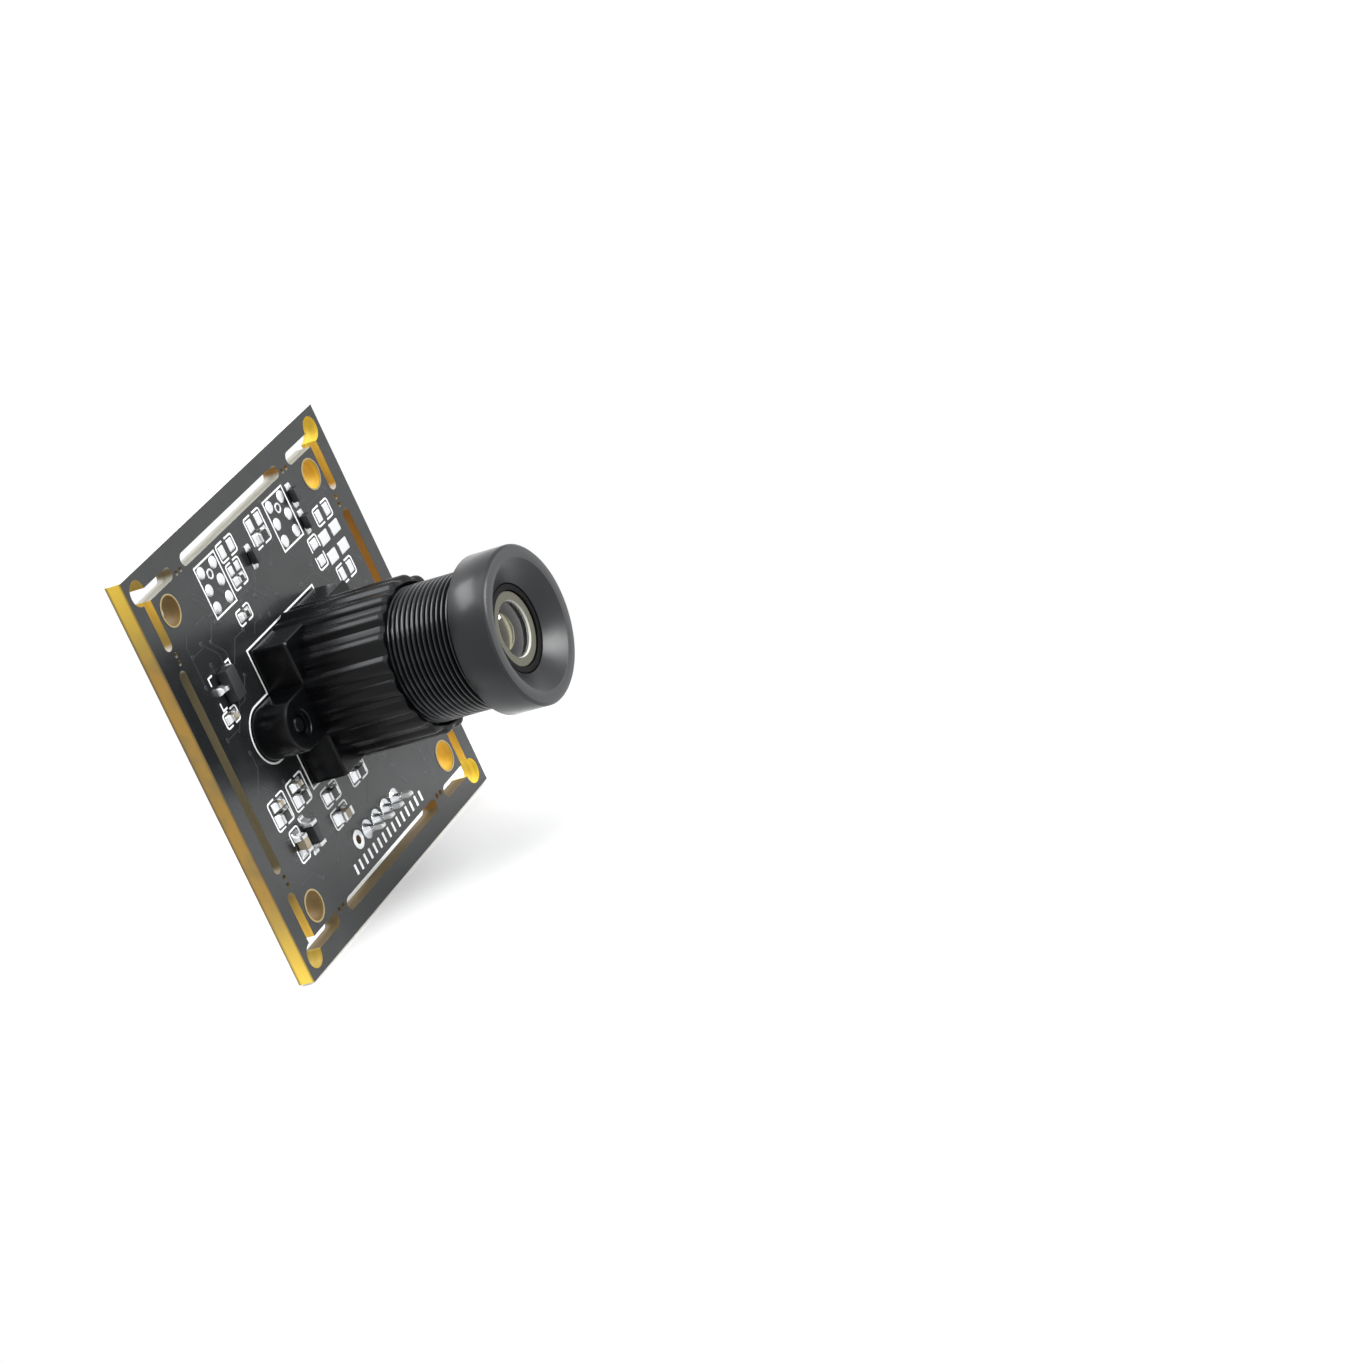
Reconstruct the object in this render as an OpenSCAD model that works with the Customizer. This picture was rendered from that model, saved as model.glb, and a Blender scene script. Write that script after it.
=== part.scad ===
// Camera module: a square circuit board with a screwed lens holder and a focusing lens
// The origin lies on the lens axis at the board's front face
// The lens looks along -Y, +X is to the right seen from the lens side, and +Z is up

/* [Board] */
// Width of the circuit board
board_w = 38; // [37.6:0.2:41]
// Height of the circuit board
board_h = 38; // [37.6:0.2:41]
// Thickness of the circuit board
board_t = 1.6; // [1.2:0.1:2]
// Spacing of the four mounting holes, across and up
mount_spacing = 28.4; // [28:0.1:28.8]
// Diameter of a mounting hole
mount_hole_d = 2.6; // [2.2:0.1:2.8]
// Distance from the board's edges to a corner hole's axis
corner_inset = 1.7; // [1.6:0.05:1.8]
// Diameter of a corner hole
corner_hole_d = 2.3; // [2:0.1:2.4]
// Distance from the board's edge to the middle of a breakaway slot
slot_inset = 2.3; // [2.2:0.05:2.4]
// Width of a breakaway slot
slot_w = 1.2; // [1:0.05:1.3]
// Length of the middle slot on each side
slot_middle_l = 19.4; // [18:0.2:20]
// Width of a breakaway tab
tab_w = 1.9; // [1.6:0.1:2.2]
// Diameter of the small holes that weaken a tab
bite_d = 0.5; // [0.4:0.05:0.6]

/* [Lens holder] */
// Width of the holder's square base
holder_w = 13; // [12.8:0.1:13.4]
// Height of the holder's base and ears
holder_base_h = 3.6; // [3.4:0.1:4]
// Height of the fluted tube's mouth above the board
holder_h = 12.1; // [11:0.1:13]
// Diameter over the tube's flutes
holder_tube_d = 14; // [13.8:0.1:14.4]
// Number of flutes round the tube
flute_count = 20; // [16:1:24]
// Depth of the grooves between the flutes
flute_depth = 0.32; // [0.2:0.02:0.4]
// Distance of an ear's screw from the lens axis
ear_x = 9.2; // [9:0.1:9.6]
// Diameter of an ear
ear_d = 4.8; // [4.4:0.1:5]
// Width of the square space over the sensor
cavity_w = 11.4; // [11:0.1:11.6]
// Height of the square space over the sensor
cavity_h = 2.3; // [2.1:0.1:2.4]
// Thickness of the web that carries the filter
web_t = 0.7; // [0.6:0.05:0.8]
// Diameter of the light opening in the web
web_hole_d = 7.2; // [6.8:0.1:7.6]

/* [Lens] */
// Diameter over the lens thread
thread_d = 12; // [11.8:0.1:12]
// Pitch of the lens thread
thread_pitch = 0.5; // [0.5:0.05:0.7]
// Depth of the lens thread
thread_depth = 0.3; // [0.24:0.02:0.34]
// Height of the lens barrel's rear end above the board
barrel_rear_h = 4.7; // [4.6:0.1:5]
// Height of the head's rear face above the board
head_rear_h = 18.7; // [17:0.1:20]
// Diameter of the head
head_d = 14; // [13:0.1:15]
// Length of the head
head_l = 3.75; // [3.5:0.05:5]
// Diameter of the head's inner rim
rim_inner_d = 11.5; // [10.5:0.1:12]
// Diameter at the small end of the front cone
cone_small_d = 7.8; // [7.4:0.1:8.4]
// Depth of the front cone
cone_depth = 1.4; // [1:0.1:1.6]
// Width of the barrel's inner lip behind the glass
rear_lip_w = 0.8; // [0.5:0.1:1]

/* [Connector] */
// Number of connector pins
pin_count = 4; // [2:1:5]
// Pitch of the connector pins
pin_pitch = 2; // [2:0.05:2.1]
// Width of the connector over the pin axes' ends, each side
housing_side = 1.95; // [1.8:0.05:2.1]
// Depth of the connector across the pin row, above the row
housing_above = 1.7; // [1.6:0.05:1.9]
// Depth of the connector across the pin row, below the row
housing_below = 2.8; // [2.6:0.05:3]
// Height of the connector housing
housing_h = 6; // [5.6:0.1:6.6]
// Wall of the connector housing
housing_wall = 0.6; // [0.5:0.05:0.7]
// Floor of the connector housing
housing_floor = 1.6; // [1.2:0.1:2]
// Side of a square pin
pin_w = 0.5; // [0.4:0.05:0.55]
// Length of a pin past the board's front face
pin_tail_l = 1.85; // [1.4:0.05:2.2]

/* [Chips] */
// Side of the square processor
processor_w = 6; // [5.8:0.1:6.2]
// Height of the processor
processor_h = 0.85; // [0.7:0.05:1]
// Number of leads on each side of the processor
processor_lead_count = 13; // [11:1:14]
// Width of the flash memory's body
flash_w = 3.9; // [3.7:0.1:4]
// Length of the flash memory's body
flash_l = 4.9; // [4.7:0.1:5.1]
// Height of the flash memory's top above the board
flash_h = 1.6; // [1.4:0.05:1.8]
// Side of the power inductor
inductor_w = 3; // [2.8:0.1:3.2]
// Height of the power inductor
inductor_h = 1.5; // [1.2:0.1:2]
// Length of a regulator's body
regulator_l = 2.9; // [2.8:0.1:3]
// Width of a regulator's body
regulator_w = 1.6; // [1.4:0.1:1.7]
// Height of a regulator's top above the board
regulator_h = 1.15; // [1:0.05:1.3]
// Side of the image sensor's package
sensor_w = 9; // [8:0.2:10]

/* [Hidden] */

$fn = 64;
half_w = board_w / 2;
half_h = board_h / 2;
// Thickness of the metal pads and of the printed legend
pad_t = 0.05;
ink_t = 0.03;
// Width of a legend line
ink_w = 0.16;
// Overrun of every cut past the face that it opens
cut_over = 0.1;

// Board details
bite_count = 2;
bite_pitch = 0.75;
// The small holes lie this far inside the slots' middle line
bite_offset = 0.4;
mount_ring_w = 0.16;
ear_hole_d = 2.1;
pin_hole_d = 0.8;
spare_ring_d = 1.7;
bore_mouth_chamfer = 0.25;

// Part of the pitch that a thread crest's flat takes
crest_share = 0.3;

// Holder fits
thread_clearance = 0.06;
screw_fit = 0.02;
screw_shank_d = 1.7;
screw_head_d = 3.1;
screw_head_h = 1.15;
screw_length = 4.9;
screw_crown_share = 0.35;
screw_slot_w = 0.42;
screw_slot_l = 1.7;
screw_slot_depth = 0.6;
flute_r = 1.0;
// The fluted tube starts this high above the board, clear of the printed line under it
tube_foot_h = 0.4;
filter_w = 8.2;
filter_t = 0.3;

// Sensor details
sensor_h = 1.0;
sensor_pocket_w = 7;
sensor_pocket_h = 0.5;
die_w = 5.9;
die_l = 3.7;
die_t = 0.2;
sensor_glass_w = 8.2;
sensor_glass_t = 0.5;

// Lens stack, from the front to the rear
glass_clearance = 0.03;
retainer_t = 0.5;
retainer_w = 0.55;
front_glass_edge_t = 1.9;
front_glass_step_h = 0.3;
front_dome_d = 5;
front_dome_r = 7;
front_hollow_r = 4.4;
front_hollow_d = 4.8;
front_spacer_l = 2.6;
spacer_w = 0.7;
middle_glass_t = 2.2;
middle_glass_r = 9;
stop_t = 0.12;
stop_hole_d = 2.6;
rear_spacer_l = 3.2;
rear_glass_r = 8;

// Connector details
cavity_slot_w = 1.1;
cavity_slot_depth = 2;
rib_w = 0.5;
rib_depth = 0.25;
pin_tip_gap = 1;
solder_foot_d = 1.7;
solder_top_d = 0.76;
solder_h = 0.8;
connector_z_share = -0.695;
connector_x_share = 0.058;
spare_hole_steps = 1;

// Two-ended chip parts as length, width, height of the body, and length of a metal end
small_resistor = [1.0, 0.5, 0.35, 0.22];
small_capacitor = [1.0, 0.5, 0.5, 0.25];
large_resistor = [1.6, 0.8, 0.45, 0.3];
large_capacitor = [1.6, 0.8, 0.85, 0.35];
// A pad reaches past its chip by this much
pad_toe = 0.46;
pad_side = 0.17;
pad_inner_share = 0.22;

// Rows of two-ended parts: places across and up as shares of half the board, 1 where the parts stand
// upright or 0 where they lie across, and the parts from left to right or from the top down.
// A part is b, g or r for a small brown or grey capacitor or a small resistor, and e is an empty place.
// A capital is the large kind.
rear_row_shares = [[-0.041, 0.729, 1, "bbb"], [-0.195, 0.742, 1, "EE"], [0.35, 0.397, 0, "ggrrrgRG"],
    [-0.354, 0.525, 0, "gr"], [-0.525, 0.556, 1, "gr"], [-0.703, 0.126, 0, "E"],
    [-0.276, 0.134, 1, "BB"], [0.004, -0.013, 1, "bbrrb"], [-0.205, -0.045, 1, "RR"],
    [0.271, -0.171, 1, "RB"], [-0.371, -0.23, 0, "RR"], [-0.566, -0.261, 0, "G"]];
front_row_shares = [[-0.146, 0.776, 0, "E"], [-0.158, 0.654, 0, "er"], [0.146, 0.738, 0, "ER"],
    [0.516, 0.447, 1, "E"], [0.695, 0.571, 0, "E"], [0.669, 0.282, 0, "E"], [-0.245, 0.487, 0, "r"],
    [-0.684, 0.184, 0, "g"], [-0.662, -0.308, 0, "gR"], [-0.468, -0.308, 0, "gR"],
    [-0.642, -0.489, 1, "B"]];
// In these rows the second value is a share of the way from the holder's lower edge to the board's
below_holder_row_shares = [[-0.247, 0.14, 0, "R"], [-0.247, 0.308, 0, "G"], [0.026, 0.18, 0, "R"]];
// The part over the connector, across as a share of half the board
over_connector_share = 0.283;
// The row beside the core regulator, up as a share of half the board
beside_regulator_share = -0.347;
beside_regulator_kinds = "Grr";
all_kinds = "bBgGrReE";
// Gap between the parts of a row, and between larger chips
row_gap = 0.53;
chip_gap = 0.52;
test_pad_shares = [[0.618, 0.476], [0.737, 0.476], [0.618, 0.379], [0.737, 0.379]];
microphone_shares = [[-0.35, 0.687], [0.372, 0.687]];
// Transistors: one in the middle, and two beside the right microphone's place
middle_transistor_share = [0.005, 0.663];
side_transistor_z_shares = [0.739, 0.603];
transistor_gap = 0.42;
lens_side_regulator_share = [-0.616, 0.311];
processor_share = [-0.014, 0.421];
flash_share = [-0.582, 0.324];
inductor_share = [0.095, -0.397];
supply_regulator_share = [-0.568, -0.421];
protection_diode_share = [-0.547, -0.489];
// Legend frames stand off their pads by this much, with round corners
frame_margin = 0.31;
frame_corner_r = 0.35;
// Gap in the middle of a frame's two long sides
frame_gap = 0.5;
// Clear space between the holder and the line round it
holder_line_gap = 0.14;
// Parts of a chip frame's sides that are left open
chip_frame_open_shares = [0.62, 0.5];

// Microphone footprint
microphone_w = 4;
microphone_l = 4.9;
microphone_pad_d = 1.14;
microphone_pad_x = 1.15;
microphone_pad_z = 1.65;
microphone_port_z = 1.05;
microphone_port_d = 0.96;
microphone_hole_d = 0.6;
test_pad_w = 1.65;
test_pad_h = 1.15;

// Lead details of the larger chips
processor_lead_w = 0.2;
processor_lead_pitch = 0.4;
processor_lead_reach = 0.5;
processor_lead_h = 0.18;
lead_t = 0.18;
flash_lead_w = 0.42;
flash_lead_pitch = 1.27;
flash_reach = 1.05;
flash_lead_count = 4;
chip_standoff = 0.1;
small_lead_w = 0.4;
small_lead_pitch = 0.95;
small_reach = 0.6;
lead_pad_l = 0.95;
lead_foot_share = 0.55;
transistor_w = 0.9;
transistor_l = 1.3;
transistor_h = 0.7;
transistor_reach = 0.35;
diode_w = 0.95;
diode_l = 2.35;
diode_h = 1.05;
diode_end_w = 0.38;
inductor_end_t = 0.12;
inductor_end_h_share = 0.55;
inductor_corner = 0.5;
inductor_pad_l = 1.28;
// Legend marks along the lower edge
mark_count = 15;
mark_w = 0.32;
mark_h = 0.95;
mark_pitch = 1;
mark_z_share = -0.789;
mark_x_share = 0.045;

mount_at = mount_spacing / 2;
corner_x = half_w - corner_inset;
corner_z = half_h - corner_inset;
bore_d = thread_d + 2 * thread_clearance;
web_top = cavity_h + web_t;
connector_x = connector_x_share * half_w;
connector_z = connector_z_share * half_h;
pin_row_l = (pin_count - 1) * pin_pitch;
housing_w = pin_row_l + 2 * housing_side;
housing_l = housing_above + housing_below;

// Sizes of a row's parts, and their places in it
function part_size(kind) = kind == "B" || kind == "G" ? large_capacitor
    : kind == "R" || kind == "E" ? large_resistor
    : kind == "r" || kind == "e" ? small_resistor : small_capacitor;
function taken(kinds, count) = count == 0 ? 0
    : taken(kinds, count - 1) + part_size(kinds[count - 1])[1] + row_gap;
function row_width(kinds) = taken(kinds, len(kinds)) - row_gap;
function row_length(kinds) = max([for (k = [0 : len(kinds) - 1]) part_size(kinds[k])[0]]);
function part_offset(kinds, k) = taken(kinds, k) + part_size(kinds[k])[1] / 2 - row_width(kinds) / 2;

core_regulator_place = [inductor_share[0] * half_w + (inductor_w + regulator_l) / 2 + chip_gap,
    inductor_share[1] * half_h, 0];
rear_rows = concat([for (r = rear_row_shares) [r[0] * half_w, r[1] * half_h, r[2], r[3]]],
    [[over_connector_share * half_w, connector_z + housing_above + 2 * chip_gap, 0, "G"],
        [core_regulator_place[0] + (regulator_l + row_width(beside_regulator_kinds)) / 2 + 2 * chip_gap,
            beside_regulator_share * half_h, 1, beside_regulator_kinds]]);
front_rows = concat([for (r = front_row_shares) [r[0] * half_w, r[1] * half_h, r[2], r[3]]],
    [for (r = below_holder_row_shares)
        [r[0] * half_w, -holder_w / 2 - r[1] * (half_h - holder_w / 2), r[2], r[3]]]);
side_transistor_x = microphone_shares[1][0] * half_w + (microphone_w + transistor_w) / 2 + transistor_gap;
transistor_places = concat([[middle_transistor_share[0] * half_w, middle_transistor_share[1] * half_h, 0]],
    [for (z = side_transistor_z_shares) [side_transistor_x, z * half_h, 0]]);

// Lens stack heights above the board
cone_floor_h = head_rear_h + head_l - cone_depth;
stack_d = cone_small_d;
stack_fit_d = stack_d - 2 * glass_clearance;
retainer_h = cone_floor_h - retainer_t;
front_glass_h = retainer_h - front_glass_edge_t;
front_spacer_h = front_glass_h - front_spacer_l;
middle_glass_h = front_spacer_h - middle_glass_t;
stop_h = middle_glass_h - stop_t;
rear_spacer_h = stop_h - rear_spacer_l;
lip_h = barrel_rear_h + 2 * rear_lip_w;
rear_glass_t = rear_spacer_h - lip_h;

// Plans drawn here lie on the board's front face, with their height towards the lens side
module on_front() rotate([90, 0, 0]) children();

// Plans drawn here lie on the board's rear face, with their height away from the lens side
module on_rear() translate([0, board_t, 0]) mirror([0, 1, 0]) rotate([90, 0, 0]) children();

module at_share(place) translate([place[0] * half_w, place[1] * half_h, 0]) children();

module block(w, l, h) translate([-w / 2, -l / 2, 0]) cube([w, l, h]);

// Children in all four quarters of the board
module each_corner(x, z) {
    for (i = [-1, 1])
        for (j = [-1, 1])
            translate([i * x, j * z, 0]) children();
}

module tube(outer_d, inner_d, h) {
    difference() {
        cylinder(d = outer_d, h = h);
        translate([0, 0, -cut_over]) cylinder(d = inner_d, h = h + 2 * cut_over);
    }
}

// Slot with round ends, along x
module slot_cut(from_x, to_x) {
    translate([(from_x + to_x) / 2, 0, 0])
        block(to_x - from_x - slot_w, slot_w, board_t + 2 * cut_over);
    for (x = [from_x + slot_w / 2, to_x - slot_w / 2])
        translate([x, 0, 0]) cylinder(d = slot_w, h = board_t + 2 * cut_over);
}

// The slots and weakening holes along the board's upper side
module side_cuts(half_across, half_up) {
    tab_start = slot_middle_l / 2;
    slot_start = tab_start + tab_w;
    translate([0, half_up - slot_inset, 0]) {
        slot_cut(-tab_start, tab_start);
        for (s = [-1, 1])
            mirror([s < 0 ? 1 : 0, 0, 0]) {
                slot_cut(slot_start, half_across - corner_inset);
                for (k = [0 : bite_count - 1])
                    translate([
                        tab_start + tab_w / 2 + (k - (bite_count - 1) / 2) * bite_pitch, -bite_offset, 0])
                        cylinder(d = bite_d, h = board_t + 2 * cut_over, $fn = 24);
            }
    }
}

module circuit_board() {
    color("#3c4048") rotate([90, 0, 0]) translate([0, 0, -board_t]) difference() {
        block(board_w, board_h, board_t);
        translate([0, 0, -cut_over]) {
            each_corner(mount_at, mount_at) cylinder(d = mount_hole_d, h = board_t + 2 * cut_over);
            each_corner(corner_x, corner_z) cylinder(d = corner_hole_d, h = board_t + 2 * cut_over);
            for (s = [0, 1]) mirror([0, s, 0]) side_cuts(half_w, half_h);
            for (s = [0, 1]) mirror([s, 0, 0]) rotate([0, 0, -90]) side_cuts(half_h, half_w);
            for (s = [-1, 1])
                translate([s * ear_x, 0, 0]) cylinder(d = ear_hole_d, h = board_t + 2 * cut_over);
            for (k = [-spare_hole_steps : pin_count - 1])
                translate([connector_x + k * pin_pitch - pin_row_l / 2, connector_z, 0])
                    cylinder(d = pin_hole_d, h = board_t + 2 * cut_over, $fn = 24);
        }
    }
}

// Children once for each part of the rows whose kind is asked for, with its size in $size
module each_part(rows, kinds) {
    for (row = rows)
        translate([row[0], row[1], 0]) rotate([0, 0, 90 * row[2]])
            for (k = [0 : len(row[3]) - 1])
                if (len(search(row[3][k], kinds)) > 0)
                    translate([0, -part_offset(row[3], k), 0]) {
                        $size = part_size(row[3][k]);
                        children();
                    }
}

module part_pads(rows) {
    each_part(rows, all_kinds) for (s = [-1, 1]) {
        inner = $size[0] * pad_inner_share;
        reach = $size[0] / 2 + pad_toe - inner;
        translate([s * (inner + reach / 2), 0, 0]) block(reach, $size[1] + 2 * pad_side, pad_t);
    }
}

// Bodies of two-ended parts, between their metal ends
module part_bodies(rows, kinds) {
    each_part(rows, kinds)
        translate([0, 0, pad_t]) block($size[0] - 2 * $size[3], $size[1], $size[2]);
}

module part_ends(rows, kinds) {
    each_part(rows, kinds)
        for (s = [-1, 1])
            translate([s * ($size[0] - $size[3]) / 2, 0, pad_t]) block($size[3], $size[1], $size[2]);
}

// Legend round each row, open on both sides of the parts' middles
module row_frames(rows) {
    for (row = rows) {
        w = row_length(row[3]) + 2 * (pad_toe + frame_margin);
        l = row_width(row[3]) + 2 * (pad_side + frame_margin);
        translate([row[0], row[1], 0]) rotate([0, 0, 90 * row[2]]) difference() {
            round_frame(w, l);
            translate([0, 0, -cut_over]) block(frame_gap, l + 2 * cut_over, ink_t + 2 * cut_over);
        }
    }
}

module front_pads() {
    color("#e8ebec") on_front() {
        part_pads(front_rows);
        for (p = test_pad_shares) at_share(p) block(test_pad_w, test_pad_h, pad_t);
        for (p = microphone_shares) at_share(p) microphone_pads();
        for (p = transistor_places) translate(p) transistor_pads();
        at_share(lens_side_regulator_share) rotate([0, 0, 90]) three_lead_pads();
        each_corner(mount_at, mount_at) tube(mount_hole_d + 2 * mount_ring_w, mount_hole_d, pad_t);
        translate([connector_x - pin_row_l / 2 - spare_hole_steps * pin_pitch, connector_z, 0])
            tube(spare_ring_d, pin_hole_d, pad_t);
        at_share(protection_diode_share) diode_pads();
    }
}

module rear_pads() {
    color("#e8ebec") on_rear() {
        part_pads(rear_rows);
        translate(core_regulator_place) five_lead_pads();
        at_share(supply_regulator_share) five_lead_pads();
        at_share(flash_share) flash_pads();
        at_share(inductor_share) inductor_pads();
        each_corner(mount_at, mount_at) tube(mount_hole_d + 2 * mount_ring_w, mount_hole_d, pad_t);
    }
}

module microphone_pads() {
    for (i = [-1, 1])
        for (j = [-1, 0, 1])
            translate([i * microphone_pad_x, j * microphone_pad_z, 0])
                cylinder(d = microphone_pad_d, h = pad_t, $fn = 32);
    translate([0, microphone_port_z, 0]) tube(microphone_port_d, microphone_hole_d, pad_t);
}

module transistor_pads() {
    lead = transistor_l / 2 + transistor_reach / 2;
    for (s = [-1, 1])
        translate([0, s * lead, 0])
            block(small_lead_w + 2 * pad_side, transistor_reach + 2 * pad_side, pad_t);
    translate([transistor_w / 2 + transistor_reach / 2, 0, 0])
        block(transistor_reach + 2 * pad_side, small_lead_w + 2 * pad_side, pad_t);
}

// Pads of a five-lead chip, with two leads on its upper side
module five_lead_pads() {
    for (k = [-1, 1]) translate([k * small_lead_pitch, small_pad_z(), 0]) lead_pad();
    for (k = [-1, 0, 1]) translate([k * small_lead_pitch, -small_pad_z(), 0]) lead_pad();
}

// Pads of a three-lead chip, with one lead on its upper side
module three_lead_pads() {
    translate([0, small_pad_z(), 0]) lead_pad();
    for (k = [-1, 1]) translate([k * small_lead_pitch, -small_pad_z(), 0]) lead_pad();
}

module lead_pad() block(small_lead_w + 2 * pad_side, lead_pad_l, pad_t);

function small_pad_z() = regulator_w / 2 + small_reach - lead_pad_l / 2 + pad_side;

module flash_pads() {
    for (s = [-1, 1])
        for (k = [0 : flash_lead_count - 1])
            translate([
                s * (flash_w / 2 + flash_reach), (k - (flash_lead_count - 1) / 2) * flash_lead_pitch, 0])
                block(2 * lead_pad_l, flash_lead_w + 2 * pad_side, pad_t);
}

module inductor_pads() {
    for (s = [-1, 1])
        translate([s * (inductor_w / 2 - inductor_pad_l / 4), 0, 0])
            block(inductor_pad_l, inductor_w - inductor_pad_l / 2, pad_t);
}

module diode_pads() {
    for (s = [-1, 1])
        translate([0, s * (diode_l / 2 + pad_toe / 2), 0]) block(diode_w, diode_end_w + pad_toe, pad_t);
}

module round_block(w, l, r, h) {
    block(w - 2 * r, l, h);
    block(w, l - 2 * r, h);
    each_corner(w / 2 - r, l / 2 - r) cylinder(r = r, h = h, $fn = 32);
}

module round_frame(w, l) {
    difference() {
        round_block(w, l, frame_corner_r, ink_t);
        translate([0, 0, -cut_over])
            round_block(w - 2 * ink_w, l - 2 * ink_w, frame_corner_r - ink_w, ink_t + 2 * cut_over);
    }
}

module legend_line(x0, z0, x1, z1) {
    translate([min(x0, x1) - ink_w / 2, min(z0, z1) - ink_w / 2, 0])
        cube([abs(x1 - x0) + ink_w, abs(z1 - z0) + ink_w, ink_t]);
}

module closed_frame(w, l) {
    difference() {
        block(w, l, ink_t);
        translate([0, 0, -cut_over]) block(w - 2 * ink_w, l - 2 * ink_w, ink_t + 2 * cut_over);
    }
}

// Line round the holder's square base and ears
module holder_legend() {
    grown = ink_w + holder_line_gap;
    difference() {
        union() {
            block(holder_w + 2 * grown, holder_w + 2 * grown, ink_t);
            for (s = [-1, 1]) ear_plan(s, ear_d + 2 * grown, ink_t);
        }
        translate([0, 0, -cut_over]) {
            block(holder_w + 2 * grown - 2 * ink_w, holder_w + 2 * grown - 2 * ink_w, ink_t + 2 * cut_over);
            for (s = [-1, 1]) ear_plan(s, ear_d + 2 * grown - 2 * ink_w, ink_t + 2 * cut_over);
        }
    }
}

// One ear's plan: a round end joined to the base by straight sides
module ear_plan(side, d, h) {
    translate([side * ear_x, 0, 0]) cylinder(d = d, h = h);
    translate([side * ear_x / 2, 0, 0]) block(ear_x, d, h);
}

// Four corners of a frame round the lens side regulator and its pads
module chip_frame() {
    w = regulator_w + 2 * (small_reach + 2 * pad_side + frame_margin);
    l = regulator_l + 2 * ink_w;
    difference() {
        closed_frame(w, l);
        translate([0, 0, -cut_over]) {
            block(w * chip_frame_open_shares[0], l + 2 * cut_over, ink_t + 2 * cut_over);
            block(w + 2 * cut_over, l * chip_frame_open_shares[1], ink_t + 2 * cut_over);
        }
    }
}

module front_legend() {
    color("white") on_front() {
        row_frames(front_rows);
        for (p = microphone_shares) at_share(p) closed_frame(microphone_w, microphone_l);
        at_share(lens_side_regulator_share) chip_frame();
        translate([mark_x_share * half_w - (mark_count - 1) * mark_pitch / 2, mark_z_share * half_h, 0])
            for (k = [0 : mark_count - 1])
                translate([k * mark_pitch, 0, 0]) block(mark_w, mark_h, ink_t);
        holder_legend();
    }
}

module rear_legend() {
    reach = processor_w / 2 + processor_lead_reach + 2 * ink_w;
    hook = processor_w / 4;
    housing_left = -pin_row_l / 2 - housing_side - pin_pitch;
    housing_top = housing_above + ink_w;
    housing_bottom = -housing_below - ink_w;
    color("white") on_rear() {
        row_frames(rear_rows);
        at_share(processor_share) {
            for (s = [-1, 1]) {
                legend_line(-reach, s * reach, reach, s * reach);
                legend_line(-reach, s * reach, -reach, s * (reach - hook));
            }
            legend_line(reach, -reach, reach, reach);
        }
        at_share(flash_share) {
            legend_line(-flash_w / 2, flash_l / 2 + 2 * ink_w, flash_w / 2, flash_l / 2 + 2 * ink_w);
        }
        translate([connector_x, connector_z, 0]) {
            legend_line(housing_left, housing_top, -housing_left - pin_pitch, housing_top);
            legend_line(housing_left, housing_bottom, -housing_left - pin_pitch, housing_bottom);
            legend_line(housing_left, housing_bottom, housing_left, housing_top);
        }
    }
}

// Outline of the fluted tube: a core circle with a round flute at each step
module fluted_disc(h) {
    cylinder(d = holder_tube_d - 2 * flute_depth, h = h);
    for (k = [0 : flute_count - 1])
        rotate([0, 0, k * 360 / flute_count])
            translate([holder_tube_d / 2 - flute_r, 0, 0]) cylinder(r = flute_r, h = h, $fn = 32);
}

module lens_holder() {
    color("#1b1d22") on_front() difference() {
        union() {
            block(holder_w, holder_w, holder_base_h);
            for (s = [-1, 1]) ear_plan(s, ear_d, holder_base_h);
            translate([0, 0, tube_foot_h]) fluted_disc(holder_h - tube_foot_h);
        }
        translate([0, 0, -cut_over]) block(cavity_w, cavity_w, cavity_h + cut_over);
        translate([0, 0, cavity_h - cut_over]) cylinder(d = web_hole_d, h = web_t + 2 * cut_over);
        translate([0, 0, web_top]) cylinder(d = bore_d, h = holder_h - web_top + cut_over);
        translate([0, 0, holder_h - bore_mouth_chamfer])
            cylinder(d1 = bore_d, d2 = bore_d + 2 * (bore_mouth_chamfer + cut_over),
                h = bore_mouth_chamfer + cut_over);
        for (s = [-1, 1])
            translate([s * ear_x, 0, -cut_over])
                cylinder(d = screw_shank_d + 2 * screw_fit, h = holder_base_h + 2 * cut_over);
    }
}

// Pan head with a cross recess, and a plain shank into the holder's ear
module holder_screws() {
    rim_h = screw_head_h * (1 - screw_crown_share);
    color("#15161a") on_rear() for (s = [-1, 1]) translate([s * ear_x, 0, 0]) {
        difference() {
            union() {
                cylinder(d = screw_head_d, h = rim_h);
                translate([0, 0, rim_h])
                    cylinder(d1 = screw_head_d, d2 = screw_head_d - 2 * screw_head_h * screw_crown_share,
                        h = screw_head_h - rim_h);
            }
            for (a = [0, 90])
                rotate([0, 0, a]) translate([0, 0, screw_head_h - screw_slot_depth])
                    block(screw_slot_l, screw_slot_w, screw_slot_depth + cut_over);
        }
        mirror([0, 0, 1]) cylinder(d = screw_shank_d, h = screw_length);
    }
}

module sensor_package() {
    color("#20242c") on_front() difference() {
        block(sensor_w, sensor_w, sensor_h);
        translate([0, 0, sensor_h - sensor_pocket_h])
            block(sensor_pocket_w, sensor_pocket_w, sensor_pocket_h + cut_over);
    }
}

module sensor_die() {
    color("#2f3a55") on_front() translate([0, 0, sensor_h - sensor_pocket_h]) block(die_w, die_l, die_t);
}

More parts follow.
